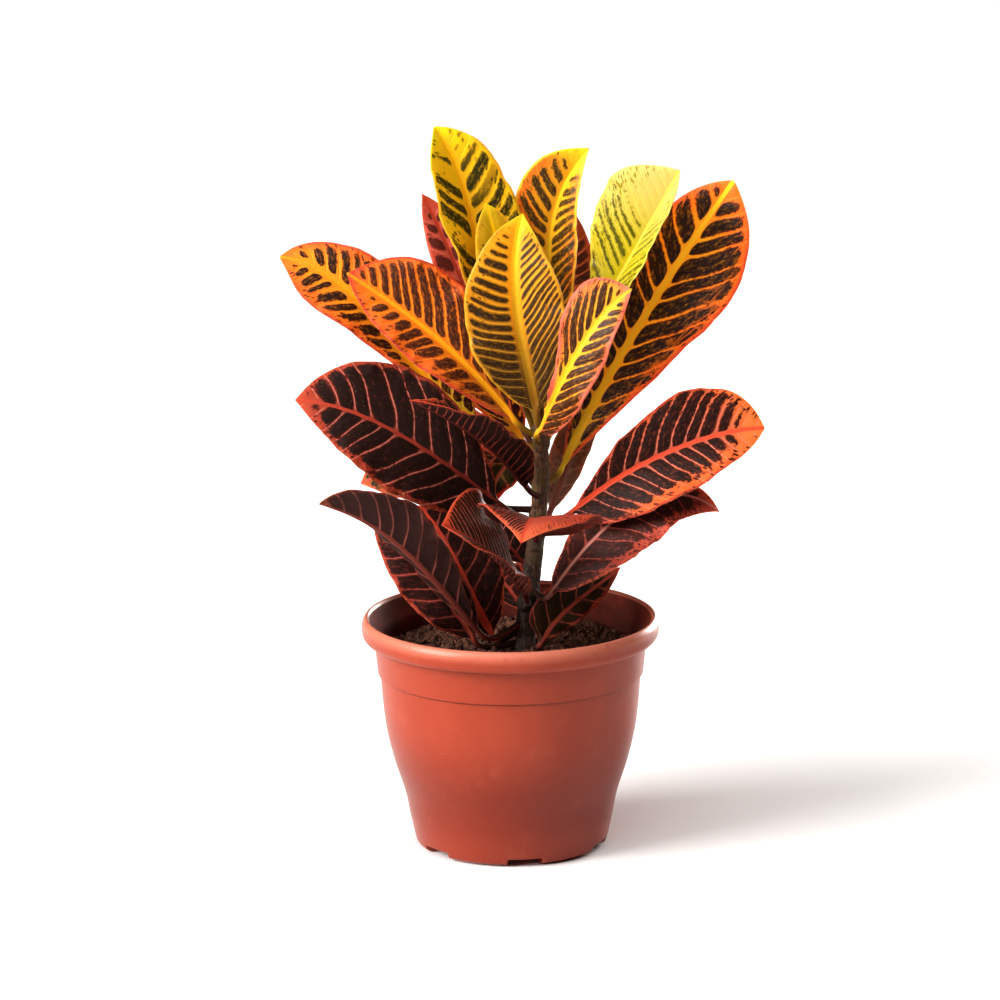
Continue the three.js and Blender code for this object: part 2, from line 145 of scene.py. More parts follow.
class Shader(Tree):
    """A node material in the making, whose methods add nodes and hand back wires."""

    def __init__(self, name: str) -> None:
        """Start an empty node material.

        Args:
            name: the material's name.
        """
        self.material = bpy.data.materials.new(name)
        self.material.use_nodes = True
        super().__init__(self.material.node_tree)
        self.tree.nodes.clear()

    def math(self, operation: str, *values: Any) -> Wire:
        """Return the result of a math node on its values."""
        return self.wire(0, "Math", dict(enumerate(values)), operation=operation)

    def step(self, value: Any, low: Any, high: Any) -> Wire:
        """Return 0 to 1, smoothly, as the value goes from low to high."""
        ends = {"Value": value, "From Min": low, "From Max": high}
        return self.wire(0, "MapRange", ends, interpolation_type="SMOOTHSTEP")

    def span(self, value: Any, low: Any, high: Any) -> Wire:
        """Return low to high as the value goes from 0 to 1."""
        return self.wire(0, "MapRange", {"Value": value, "To Min": low, "To Max": high})

    def mix(self, share: Any, first: Any, second: Any) -> Wire:
        """Return a colour from the first, at a share of 0, to the second, at a share of 1."""
        ends = [linear(c) if isinstance(c, tuple) else c for c in (first, second)]
        return self.wire(2, "Mix", {0: share, 6: ends[0], 7: ends[1]}, data_type="RGBA")

    def point(self, x: Any, y: Any, z: Any = 0.0) -> Wire:
        """Return three values as one vector."""
        return self.wire(0, "CombineXYZ", {0: x, 1: y, 2: z})

    def split(self, vector: Any) -> list[Wire]:
        """Return the three parts of a vector or colour."""
        return [Wire(self, part) for part in self.put("SeparateXYZ", {0: vector}).outputs]

    def stretch(self, place: Any, scale: Point) -> Wire:
        """Return a place with its axes scaled."""
        return self.wire(0, "Mapping", {"Vector": place, "Scale": scale})

    def noise(self, place: Any, scale: float, detail: float = 3.0, rough: float = 0.5) -> Wire:
        """Return cloudy noise, 0 to 1, over a place."""
        inputs = {"Vector": place, "Scale": scale, "Detail": detail, "Roughness": rough}
        return self.wire(0, "TexNoise", inputs)

    def cells(self, place: Any, scale: float, feature: str = "F1") -> tuple[Wire, Wire]:
        """Return the distance and the random colour of irregular cells over a place."""
        node = self.put("TexVoronoi", {"Vector": place, "Scale": scale}, feature=feature)
        return Wire(self, node.outputs[0]), Wire(self, node.outputs[1])

    def attribute(self, name: str) -> list[Wire]:
        """Return the three parts of a vector that the mesh carries."""
        return self.split(self.put("Attribute", {}, attribute_name=name).outputs["Vector"])

    def object_place(self) -> bpy.types.NodeSocket:
        """Return the place in the object's own coordinates, in metres."""
        return self.put("TexCoord", {}).outputs["Object"]

    def finish(
        self, color: Any, rough: Any, height: Any, depth: float, bump: float = 1.0, **constants: Any
    ) -> bpy.types.Material:
        """Close the material with its surface.

        Args:
            color: the base colour's wire.
            rough: the roughness, a number or a wire.
            height: the relief's wire, 0 to 1.
            depth: what a height of 1 is worth, in millimetres.
            bump: how strongly the relief shows.
            constants: other inputs of the surface, by name, with spaces as underscores.

        Returns:
            The finished material.
        """
        relief = self.wire(0, "Bump", {"Height": height, "Distance": depth * MM, "Strength": bump})
        inputs = {key.replace("_", " "): value for key, value in constants.items()}
        inputs |= {"Base Color": color, "Roughness": rough, "Normal": relief}
        self.put("OutputMaterial", {"Surface": self.wire(0, "BsdfPrincipled", inputs)})
        return self.material


# Lines and meshes


def cubic(points: Sequence[Point], t: np.ndarray) -> np.ndarray:
    """Return points of the cubic that passes four points, evenly spaced in t.

    Args:
        points: the four points.
        t: where along the curve, 0 at the first point to 1 at the last.

    Returns:
        One row a point.
    """
    u = 3 * np.asarray(t, float)
    weights = [
        (1 - u) * (2 - u) * (3 - u) / 6,
        u * (2 - u) * (3 - u) / 2,
        u * (u - 1) * (3 - u) / 2,
        u * (u - 1) * (u - 2) / 6,
    ]
    return np.stack(weights, 1) @ np.array(points, float)


def unit(vectors: np.ndarray) -> np.ndarray:
    """Return vectors at a length of one."""
    return vectors / np.maximum(np.linalg.norm(vectors, axis=-1, keepdims=True), 1e-9)


def ahead_of(points: Sequence[Point], t: np.ndarray, step: float = 0.01) -> np.ndarray:
    """Return the direction of the cubic through four points at each t."""
    return unit(cubic(points, np.asarray(t) + step) - cubic(points, np.asarray(t) - step))


def smooth(value: np.ndarray, low: float, high: float) -> np.ndarray:
    """Return 0 to 1, smoothly, as the value goes from low to high."""
    x = np.clip((value - low) / (high - low), 0, 1)
    return x * x * (3 - 2 * x)


def hump(value: np.ndarray, width: float) -> np.ndarray:
    """Return 1 where the value is 0, falling off evenly on both sides over the width."""
    return np.exp(-((value / width) ** 2))


def ripple(rng: np.random.Generator, x: np.ndarray, wavelength: float) -> np.ndarray:
    """Return a smooth random line of about -1 to 1.

    Args:
        rng: the source of its phases.
        x: where along the line.
        wavelength: its longest wave, on which finer ones lie.

    Returns:
        Its height at each x.
    """
    total = np.zeros_like(x, float)
    for k in range(3):
        turn = FULL_TURN * x / (wavelength * 0.61**k)
        total += 0.6**k * np.sin(turn + rng.uniform(0, FULL_TURN))
    return total / 1.6


def show(name: str, data: bpy.types.ID) -> bpy.types.Object:
    """Put an object that holds the data into the scene.

    Args:
        name: the object's name.
        data: its mesh, light or camera.

    Returns:
        The object, at the origin.
    """
    shown = bpy.data.objects.new(name, data)
    bpy.context.scene.collection.objects.link(shown)
    return shown


def make_object(
    name: str, points: np.ndarray, faces: Sequence[Sequence[int]], material: bpy.types.Material
) -> bpy.types.Object:
    """Make a smooth mesh object from points in millimetres.

    Args:
        name: the object's name.
        points: one row a point.
        faces: the points of each face, counter-clockwise from outside.
        material: its finish.

    Returns:
        The object, at the origin.
    """
    mesh = bpy.data.meshes.new(name)
    mesh.from_pydata((np.asarray(points) * MM).tolist(), [], faces)
    mesh.materials.append(material)
    mesh.shade_smooth()
    return show(name, mesh)


def ring_angles(count: int) -> np.ndarray:
    """Return evenly spaced angles of one whole turn."""
    return np.linspace(0, FULL_TURN, count, endpoint=False)


def turned(radius: Any, angle: Any, height: Any) -> np.ndarray:
    """Return points around the upright axis, each with its radius, angle and height."""
    parts = np.broadcast_arrays(radius * np.cos(angle), radius * np.sin(angle), height)
    return np.stack(parts, -1)


def grid_faces(rows: int, columns: int) -> np.ndarray:
    """Return the quads between rings of points, each ring closed on itself.

    Args:
        rows: how many rings there are.
        columns: how many points a ring has.

    Returns:
        Four point numbers a row, rings in order.
    """
    j, k = np.meshgrid(np.arange(rows - 1), np.arange(columns), indexing="ij")
    here, after = j * columns + k, j * columns + (k + 1) % columns
    return np.stack([here, after, after + columns, here + columns], -1).reshape(-1, 4)


def capped(rings: np.ndarray, start: int = 0) -> list[list[int]]:
    """Return the faces of a closed tube, with one flat face at each end.

    Args:
        rings: its rings of points.
        start: the number of its first point.

    Returns:
        The faces, with the ends last.
    """
    rows, sides = rings.shape[:2]
    first = list(range(start, start + sides))
    last = [(rows - 1) * sides + k for k in first]
    return (start + grid_faces(rows, sides)).tolist() + [first[::-1], last]


def fanned(rings: np.ndarray, ends: Sequence[Any]) -> tuple[np.ndarray, list[list[int]]]:
    """Close a tube with a fan of triangles at each end.

    Args:
        rings: its rings of points.
        ends: the middle point of each fan.

    Returns:
        All points, and the faces with the fans last.
    """
    rows, sides = rings.shape[:2]
    faces = grid_faces(rows, sides).tolist()
    first, base = rows * sides, (rows - 1) * sides
    for k in range(sides):
        after = (k + 1) % sides
        faces += [[first, after, k], [first + 1, base + k, base + after]]
    return np.concatenate([rings.reshape(-1, 3), ends]), faces


def plain_mesh(piece: bpy.types.Object) -> bpy.types.Mesh:
    """Make a piece's modifiers real, and take them off it.

    Args:
        piece: the piece with modifiers.

    Returns:
        The mesh that they make.
    """
    shown = piece.evaluated_get(bpy.context.evaluated_depsgraph_get())
    mesh = bpy.data.meshes.new_from_object(shown)
    piece.modifiers.clear()
    return mesh


def settle(piece: bpy.types.Object, slot: str, *nodes: str) -> None:
    """Fix a finished piece to the plant.

    Args:
        piece: the finished piece.
        slot: the name of its material slot; not used.
        nodes: the plain solids that it stands for, if any.
    """
    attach(piece, ROOT)
    if nodes:
        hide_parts(*nodes)
    count = sum(len(p.vertices) - 2 for p in piece.data.polygons)
    goal = " for " + ", ".join(nodes) if nodes else ""
    log.info("%s: %d triangles%s", piece.name, count, goal)


# Leaf finishes


class Age(Enum):
    """How old a leaf is, which sets its colours: young leaves are yellow, old ones dark red."""

    NEW = ("just opened", "young_leaf")
    YOUNG = ("young", "young_leaf")
    GROWN = ("grown", "grown_leaf")
    OLD = ("old", "old_leaf")
    LOW = ("old and shaded", "old_leaf")

    @property
    def slot(self) -> str:
        """Return the record's material slot for a leaf of this age."""
        return self.value[1]


@dataclass(frozen=True)
class LeafFinish:
    """The colours and markings of one leaf.

    Dark panels lie between the side veins, and the pale colour runs along the veins, the midrib
    and the margin. A pair of values is for the base and the tip, or for the left and the right
    half. Lengths are in millimetres.
    """

    light: Color
    outer: Color
    rim: Color
    tip: Color
    midrib: tuple[Color, Color]
    dark: Color
    halo: Color
    under: Color
    stalk: Color
    base: Color
    spacing: float = 8.5
    vein: Pair = (0.2, 0.35)
    midrib_width: Pair = (1.5, 0.6)
    inner_gap: Pair = (1.2, 1.2)
    outer_gap: Pair = (4.0, 4.0)
    tip_gap: float = 0.12
    tip_red: float = 0.12
    rim_width: float = 1.8
    absent: float = 0.0
    ragged: float = 0.35
    specks: float = 0.5
    net: float = 0.2
    soft: float = 0.07
    broken: float = 0.4
    mottle: float = 0.55
    line: Color = (250, 190, 70)
    line_share: float = 0.3
    sweep: Pair = (0.55, 0.55)
    rough: float = 0.4
    gloss: float = 0.18
    base_reach: float = 0.4

    BEND = 0.25
    # Colour of the pale specks: partly dust, partly painted glints.
    DUST_AND_GLINT = (222, 178, 150)
    RELIEF = 0.35
    LIGHT_REACH = (1.0, 0.7, 0.3)

    def material(self, name: str) -> bpy.types.Material:
        """Build the leaf's material.

        Args:
            name: the material's name.

        Returns:
            A material that reads the mesh's blade and vein attributes.
        """
        s = Shader(name)
        station, across, edge = s.attribute("blade")
        vein, along, under = s.attribute("vein")
        out, half = s.math("ABSOLUTE", across), s.math("SIGN", across)
        place = s.point(station, across, under * 40.0)
        ragged = s.noise(place, 0.5, 4.0, 0.6)
        clouds = s.noise(place, 0.06, 3.0, 0.55)
        share = out / (out + edge + 0.2)
        lean = ragged - 0.5

        # Dark panels: between is 0 on a side vein and 1 halfway to the next.
        between = s.math("PINGPONG", vein, 0.5) * 2.0
        chance = self.draw(s, s.math("FLOOR", vein), half)
        stout = self.draw(s, s.math("ROUND", vein) + 70.0, half)
        off_rib = out - s.span(along, *self.midrib_width)
        right = s.step(across, -0.1, 0.1)
        near = s.math("MINIMUM", s.span(right, *self.inner_gap), (out + edge) * 0.35)
        beside = s.step(off_rib, -0.2, near + 0.1)
        gap = s.span(right, *self.outer_gap) * s.span(along, 0.45, 1.3)
        inside = s.step(edge - chance * 0.5 * gap, gap * 0.1, gap)
        short = s.step(along, 1.0, 1.0 - self.tip_gap)
        frayed = s.span(share, 0.5 * self.ragged, 1.7 * self.ragged)
        panel = lean * frayed + (between * beside) * (inside * short)
        level = s.span(along, *self.vein) * s.span(stout, 0.65, 1.4)
        level = s.step(off_rib, 3.0, 0.0) * 0.14 + level
        dark = s.step(panel, level - self.soft, level + self.soft)
        split = s.noise(s.point(vein * 4.5, out * 0.3, under), 1.0, 3.0, 0.6)
        split = s.step(split, 0.58, 0.66) * s.step(share, 0.1, 0.5) * self.broken
        dark = dark * (1.0 - split)
        if self.absent > 0:
            gone = s.step(along, 0.2, 0.9) * self.absent
            dark = dark * s.step(chance - gone, -0.06, 0.06)

        # Towards the margin the pale colour breaks into a net, with dark specks in its meshes.
        lines = s.cells(s.point(vein * 1.9, out * 0.26), 1.0, "DISTANCE_TO_EDGE")[0]
        zone = s.step(lean * 0.5 + share, 1.0 - self.net, 1.25 - self.net)
        net = s.step(lines, 0.13, 0.03) * zone * s.step(clouds, 0.3, 0.6)
        dark = dark * (1.0 - net)
        middle, fill = s.cells(s.point(vein * 3.4, out * 0.42, under), 1.0)
        fill = s.step(s.split(fill)[0], 1.0 - self.specks, 1.12 - self.specks)
        speck = s.step(lean * 0.5 + middle, 0.44, 0.3) * fill
        zone = s.step(share, 0.4, 0.7) * s.step(edge, 0.3, 1.2) * s.step(along, 1.0, 0.94)
        dark = s.math("MAXIMUM", dark, speck * zone)

        # Colours of the upper face.
        tint = share + (clouds - 0.5) * 0.9
        pale = s.mix(s.step(tint, 0.15, 0.95), self.light, self.outer)
        pale = s.mix(s.step(lean * 0.3 + along, self.base_reach, 0.03), pale, self.base)
        rim = s.step(lean * 2.0 + edge, self.rim_width, 0.25 * self.rim_width)
        pale = s.mix(rim, pale, self.rim)
        tip = s.step((clouds - 0.5) * 0.12 + along, 1 - self.tip_red, 1.0)
        pale = s.mix(tip, pale, self.tip)
        on_rib = s.step(off_rib, 0.35, -0.35)
        pale = s.mix(on_rib, pale, s.mix(along, *self.midrib))
        line = s.step(between, 0.09, 0.02) * s.step(off_rib, 0.0, 2.0)
        pale = s.mix(line * self.line_share, pale, self.line)
        streaks = s.noise(s.point(vein * 5.5, out * 0.42, under), 1.0, 4.0, 0.68)
        streaks = s.step(streaks, 0.48, 0.7) * self.mottle
        core = s.mix(streaks, self.dark, s.mix(0.35, self.halo, self.light))
        depth = s.step(panel, level, level + 0.2)
        color = s.mix(dark, pale, s.mix(depth, self.halo, core))
        # Pale raised specks: partly dust, partly painted glints.
        middle, rare = s.cells(place, 0.62)
        dust_and_glints = s.step(middle, 0.17, 0.08) * s.step(s.split(rare)[1], 0.7, 0.8)
        color = s.mix(dust_and_glints * 0.25, color, self.DUST_AND_GLINT)
        color = s.mix(s.step(station, 3.0, -4.0), color, self.stalk)

        # The lower face shows the pattern faintly, with its veins paler.
        lower = s.mix(s.step(ragged, 0.35, 0.75) * 0.55, self.under, color)
        on_vein = s.step(between, 0.2, 0.04) * s.step(clouds, 0.3, 0.75)
        lower = s.mix(on_vein, lower, self.light)
        lower = s.mix(on_rib, lower, s.mix(0.6, self.midrib[0], self.under))
        color = s.mix(under, color, lower)

        # Waxy surface: side veins sink into it, and fine cells grain it.
        grain = s.noise(place, 3.2, 2.0, 0.6)
        groove = s.step(between, 0.14, 0.0) * s.step(edge, 0.5, 3.0)
        height = grain * 0.16 + groove * -0.5 + ragged * 0.25 + dust_and_glints * 0.5
        rough = clouds * 0.22 + (self.rough - 0.11) + under * 0.22 + grain * 0.08
        return s.finish(
            color, rough, height, self.RELIEF, 0.7, Specular_IOR_Level=self.gloss,
            Subsurface_Weight=0.45, Subsurface_Radius=self.LIGHT_REACH, Subsurface_Scale=2 * MM,
        )

    @staticmethod
    def draw(s: Shader, number: Any, half: Any) -> Wire:
        """Return a random value for a numbered vein or panel of one half of the blade."""
        place = {"Vector": s.point(number, half)}
        return s.wire(0, "TexWhiteNoise", place, noise_dimensions="2D")


FINISHES: dict[Age, LeafFinish] = {
    # The just-opened leaf's pale tip colour is a painted highlight.
    Age.NEW: LeafFinish(
        light=(184, 165, 14), outer=(184, 170, 28), rim=(188, 177, 66), tip=(190, 175, 100),
        midrib=((202, 166, 18), (204, 190, 56)), dark=(84, 80, 8), halo=(136, 124, 16),
        under=(190, 165, 40), stalk=(150, 124, 24), base=(176, 150, 20), spacing=4.0,
        vein=(0.42, 0.6), absent=0.3, specks=0.7, net=0.1, tip_gap=0.3, tip_red=0.42,
        ragged=1.0, soft=0.14, broken=0.6, outer_gap=(1.6, 1.6), inner_gap=(3.0, 1.2), rough=0.27,
        line=(248, 226, 110), line_share=0.5, mottle=0.4,
    ),
    Age.YOUNG: LeafFinish(
        light=(248, 184, 12), outer=(246, 188, 20), rim=(236, 176, 40), tip=(248, 212, 30),
        midrib=((240, 158, 10), (252, 198, 18)), dark=(50, 42, 6), halo=(130, 94, 8),
        under=(160, 110, 22), stalk=(120, 88, 20), base=(222, 150, 12), spacing=8.0,
        vein=(0.3, 0.5), absent=0.2, specks=0.4, tip_gap=0.28, outer_gap=(3.0, 3.0),
        inner_gap=(3.0, 3.0), soft=0.08, line=(252, 214, 60),
    ),
    Age.GROWN: LeafFinish(
        light=(246, 140, 14), outer=(238, 116, 28), rim=(214, 84, 52), tip=(236, 112, 34),
        midrib=((240, 172, 22), (248, 150, 18)), dark=(42, 19, 11), halo=(112, 40, 10),
        under=(104, 46, 28), stalk=(124, 92, 24), base=(236, 176, 26), spacing=9.0,
        vein=(0.18, 0.3), specks=0.6, net=0.25, ragged=0.45, inner_gap=(2.8, 2.8),
        line=(252, 176, 50),
    ),
    Age.OLD: LeafFinish(
        light=(144, 64, 52), outer=(156, 60, 42), rim=(158, 66, 44), tip=(178, 74, 48),
        midrib=((110, 38, 28), (188, 72, 48)), dark=(34, 17, 12), halo=(78, 26, 16),
        under=(66, 26, 22), stalk=(84, 40, 26), base=(128, 46, 34), spacing=10.0,
        vein=(0.03, 0.12), specks=0.8, net=0.12, ragged=0.28, inner_gap=(0.3, 0.3), rough=0.46,
        outer_gap=(2.6, 2.6), midrib_width=(0.9, 0.8), mottle=0.2, broken=0.15, gloss=0.12,
        line=(208, 136, 118), line_share=0.7,
    ),
    # Painted shade: the dark stalks of the low leaves.
    Age.LOW: LeafFinish(
        light=(150, 62, 50), outer=(152, 56, 44), rim=(168, 74, 58), tip=(196, 92, 72),
        midrib=((160, 70, 54), (186, 84, 66)), dark=(42, 19, 15), halo=(80, 34, 26),
        under=(58, 26, 22), stalk=(48, 25, 18), base=(104, 44, 34), spacing=9.0,
        vein=(0.06, 0.12), specks=0.6, net=0.1, ragged=0.4, inner_gap=(0.6, 0.6),
        outer_gap=(2.4, 2.4), midrib_width=(1.1, 0.6), rim_width=1.2, rough=0.46,
        mottle=0.5, broken=0.3, line=(186, 112, 96), line_share=0.4, gloss=0.14,
    ),
}


# Leaves


@dataclass(frozen=True)
class UpperFace:
    """A blade's upper face, in rows along the midrib and columns across.

    Attributes:
        s: where along the midrib, 0 to 1, one a row.
        v: where across, -1 to 1, one a column.
        points: the grid's points.
        normal: the way the face looks at each point.
        reach: how far the half reaches from the midrib there.
        out: distance from the midrib.
        station: distance along the midrib.
    """

    s: np.ndarray
    v: np.ndarray
    points: np.ndarray
    normal: np.ndarray
    reach: np.ndarray
    out: np.ndarray
    station: np.ndarray


def both_faces(upper: np.ndarray, lower: np.ndarray) -> np.ndarray:
    """Return rings that run over the upper face and back under the lower one."""
    return np.concatenate([upper, lower[:, ::-1]], 1)


def carry(mesh: bpy.types.Mesh, name: str, domain: str, vectors: np.ndarray) -> None:
    """Write vectors on a mesh, one for each of its points or corners."""
    mesh.attributes.new(name, "FLOAT_VECTOR", domain).data.foreach_set("vector", vectors.ravel())


@dataclass(frozen=True)
class Leaf:
    """One leaf with its petiole.

    Attributes:
        name: the solid it stands for.
        level: how high its petiole leaves the stem.
        rib: four points along the midrib, from the blade's base to its tip.
        face: the way its upper face looks.
        half: how far the left and the right half reach from the midrib.
        age: its age, which sets its finish.
        paint: what its finish has that differs from its age's.
        widest: where along the blade each half is widest.
        fullness: how full the outline is.
        fold: how far the halves fold up, at base and tip, in degrees.
        wave: the waved margin's height, count and phase.
        waist: a narrower place in the outline and its depth.
    """

    name: str
    level: float
    rib: tuple[Point, Point, Point, Point]
    face: Point
    half: Pair
    age: Age
    paint: dict[str, Any]
    widest: Pair = (0.5, 0.5)
    fullness: float = 0.75
    fold: Pair = (24, 12)
    wave: Point = (1.2, 3, 0)
    waist: Pair = (0.5, 0)

    COLUMNS, ROW_LENGTH = 41, 1.05
    NARROWEST, TIP_PINCH, CURL = 0.3, 0.45, 14
    UNEVEN, CRIMP, CRIMP_LENGTH = 0.022, 0.7, 13.0
    THICKNESS, QUILT, SUNK = 0.7, 0.34, 0.17
    RIDGE, RIDGE_WIDTH = 0.35, 1.1
    KEEL, KEEL_WIDTH = 1.2, 1.5
    PETIOLE_RADIUS, PETIOLE_ROWS, PETIOLE_LENGTH = 1.4, 16, 12
    JOIN_LENGTH, ROUND_HALF = 7.0, 84

    def half_width(self, s: np.ndarray, side: int) -> np.ndarray:
        """Work out how wide one half of the blade is.

        Args:
            s: where along the blade, 0 to 1.
            side: 0 for the left half, 1 for the right.

        Returns:
            The width at each s.
        """
        power = math.log(0.5) / math.log(self.widest[side])
        bell = np.sin(math.pi * np.clip(s, 0, 1) ** power) ** self.fullness
        at, depth = self.waist
        pinch = (1 - depth * hump(s - at, 0.1)) * (1 - self.TIP_PINCH * np.exp((s - 1) / 0.035))
        return np.maximum(self.half[side] * bell * pinch, self.NARROWEST)

    def sides(self, ahead: np.ndarray) -> tuple[np.ndarray, np.ndarray]:
        """Return the directions to the right of the way ahead, and out of the upper face."""
        side = unit(np.cross(ahead, np.array(self.face)))
        return side, np.cross(side, ahead)

    def lay_out(self, rng: np.random.Generator) -> UpperFace:
        """Lay out the blade's upper face, with closer rows at its ends.

        Args:
            rng: the source of its fine unevenness.

        Returns:
            The face.
        """
        spread = np.linspace(-1, 1, self.COLUMNS)
        v = spread * (0.62 + 0.38 * np.abs(spread))
        v[self.COLUMNS // 2] = 0.0
        line = cubic(self.rib, np.linspace(0, 1, 60))
        length = float(np.linalg.norm(np.diff(line, axis=0), axis=1).sum())
        t = np.linspace(0, 1, int(length / self.ROW_LENGTH))
        s = 0.8 * t + 0.1 * (1 - np.cos(math.pi * t))
        side, up = self.sides(ahead_of(self.rib, s))
        calm = np.sin(math.pi * s)
        uneven = [1 + self.UNEVEN * ripple(rng, s, 0.27) * calm for _ in range(2)]
        right = (v > 0).astype(int)
        reach = np.stack([self.half_width(s, i) * uneven[i] for i in range(2)], 1)[:, right]
        out = reach * np.abs(v)
        fold = self.fold[0] + (self.fold[1] - self.fold[0]) * s
        tilt = np.radians(fold[:, None] - self.CURL * np.abs(v) / 2)
        height, count, phase = self.wave
        turn = FULL_TURN * (count * s[:, None] + phase + np.where(v < 0, 0.35, 0))
        wave = height * v**2 * calm[:, None] * np.sin(turn)
        crimp = np.stack([ripple(rng, s * length, self.CRIMP_LENGTH) for _ in range(2)], 1)
        wave += self.CRIMP * v**4 * crimp[:, right] * calm[:, None]
        flat = (np.sign(v) * out * np.cos(tilt))[..., None] * side[:, None]
        rise = (out * np.sin(tilt) + wave)[..., None] * up[:, None]
        points = cubic(self.rib, s)[:, None] + flat + rise
        normal = unit(np.cross(np.gradient(points, axis=1), np.gradient(points, axis=0)))
        station = np.broadcast_to((s * length)[:, None], out.shape)
        return UpperFace(s, v, points, normal, reach, out, station)

    def vein_place(self, face: UpperFace, side: int, finish: LeafFinish, seed: int) -> np.ndarray:
        """Number the side veins: whole numbers lie on a vein, halves between two.

        Args:
            face: the blade's upper face.
            side: 0 for the left half, 1 for the right.
            finish: the leaf's finish, which spaces and sweeps its veins.
            seed: the source of their unevenness.

        Returns:
            The vein number of each point, as if the whole face were of that half.
        """
        number = np.arange(-8, 60)
        jitter = np.random.default_rng(seed).uniform(-0.2, 0.2, len(number))
        start = (number + jitter + 0.45 * side) * finish.spacing
        turn = finish.BEND * face.out**2 / np.maximum(face.reach, 4)
        sway = 0.4 * np.sin(face.out / 5.2 + 0.22 * face.station + seed)
        origin = face.station - finish.sweep[side] * face.out - turn + sway
        return np.interp(origin, start, number)

    def petiole(self, t: np.ndarray, start: np.ndarray) -> tuple[np.ndarray, np.ndarray]:
        """Lead the petiole from the stem's axis to the blade.

        Args:
            t: where along the petiole, 0 to 1.
            start: the point of the stem's axis where it starts.

        Returns:
            Points and directions, one row a t.
        """
        end = np.array(self.rib[0], float)
        rise = start + 0.3 * (end - start)
        back = 0.35 * np.linalg.norm(end - start) * ahead_of(self.rib, np.array([0.0]))[0]
        run = end - back
        t = t[:, None]
        u = 1 - t
        places = u**3 * start + 3 * u**2 * t * rise + 3 * u * t**2 * run + t**3 * end
        ways = u**2 * (rise - start) + 2 * u * t * (run - rise) + t**2 * (end - run)
        return places, unit(ways)

    def round_rings(
        self, centres: np.ndarray, ahead: np.ndarray, v: np.ndarray, radius: Any
    ) -> np.ndarray:
        """Return round rings of points, laid out like the blade's two faces.

        Args:
            centres: the middle of each ring.
            ahead: the way ahead at each ring.
            v: where across, -1 to 1, one a column.
            radius: the radius of all rings, or of each.

        Returns:
            The rings.
        """
        side, up = self.sides(ahead)
        angle = np.radians(self.ROUND_HALF * v)[None, :, None]
        right, rise = np.sin(angle) * side[:, None], np.cos(angle) * up[:, None]
        wide = np.reshape(radius, (-1, 1, 1))
        middle = centres[:, None]
        return both_faces(middle + wide * (right + rise), middle + wide * (right - rise))

    def build(self, stem: Stem, seed: int) -> None:
        """Build the leaf's mesh, dress it and fix it to the plant.

        Args:
            stem: the stem that carries it.
            seed: the source of its unevenness.
        """
        finish = replace(FINISHES[self.age], **self.paint)
        face = self.lay_out(np.random.default_rng(seed))
        s, v, out = face.s, face.v, face.out
        numbers = [self.vein_place(face, i, finish, seed + i) for i in range(2)]
        own = np.where(v[None] > 0, numbers[1], numbers[0])

        # Relief: panels quilt up between sunken side veins, and the midrib stands proud.
        between = 2 * np.abs(own - np.round(own))
        calm = smooth(face.reach - out, 0.5, 5.0) * smooth(out, 0.8, 4.0)
        quilt = self.QUILT * (between**0.8) * calm
        ridge = self.RIDGE * (1 - 0.6 * s)[:, None] * hump(out, self.RIDGE_WIDTH)
        keel = self.KEEL * (1 - s)[:, None] * hump(out, self.KEEL_WIDTH)
        thick = self.THICKNESS * (1 - 0.45 * v**6) * (1 - 0.5 * smooth(s, 0.93, 1.0)[:, None])
        upper = face.points + (quilt + ridge - self.SUNK)[..., None] * face.normal
        deep = 0.8 * quilt - self.SUNK - thick - keel
        blade = both_faces(upper, face.points + deep[..., None] * face.normal)

        # The petiole grows into the blade over its first few millimetres.
        ahead = ahead_of(self.rib, s)
        circle = self.round_rings(cubic(self.rib, s), ahead, v, self.PETIOLE_RADIUS)
        grown = smooth(face.station[:, :1, None], 0.0, self.JOIN_LENGTH)
        blade = circle * (1 - grown) + blade * grown
        p = np.linspace(0, 1, self.PETIOLE_ROWS, endpoint=False)
        places, ways = self.petiole(p, stem.axis(self.level))
        swollen = self.PETIOLE_RADIUS * (1 + 0.3 * hump(p, 0.25))
        rings = np.concatenate([self.round_rings(places, ways, v, swollen), blade])
        points, faces = fanned(rings, [rings[0].mean(0), rings[-1].mean(0)])
        material = finish.material("leaf skin " + self.name[5:].replace("_", " "))
        piece = make_object(self.name.replace("leaf_", "blade_"), points, faces, material)
        self.carry_places(piece.data, face, p, numbers)
        settle(piece, self.age.slot, self.name)

    def carry_places(
        self, mesh: bpy.types.Mesh, face: UpperFace, p: np.ndarray, numbers: list[np.ndarray]
    ) -> None:
        """Write on the mesh what its material reads: places on the blade and vein numbers.

        Args:
            mesh: the leaf's mesh.
            face: the blade's upper face.
            p: where along the petiole, one a ring.
            numbers: vein numbers, as of the left and as of the right half.
        """
        rows, columns = len(p), self.COLUMNS
        ring, total = 2 * columns, rows + len(face.s)
        upper = np.stack([face.station, face.out * np.sign(face.v), face.reach - face.out], -1)
        stalk = np.zeros((rows, ring, 3))
        stalk[..., 0] = (-self.PETIOLE_LENGTH * (1 - p))[:, None]
        stalk[..., 2] = 2.0
        places = np.concatenate([stalk, both_faces(upper, upper)]).reshape(-1, 3)
        carry(mesh, "blade", "POINT", np.concatenate([places, places[:1], places[-1:]]))

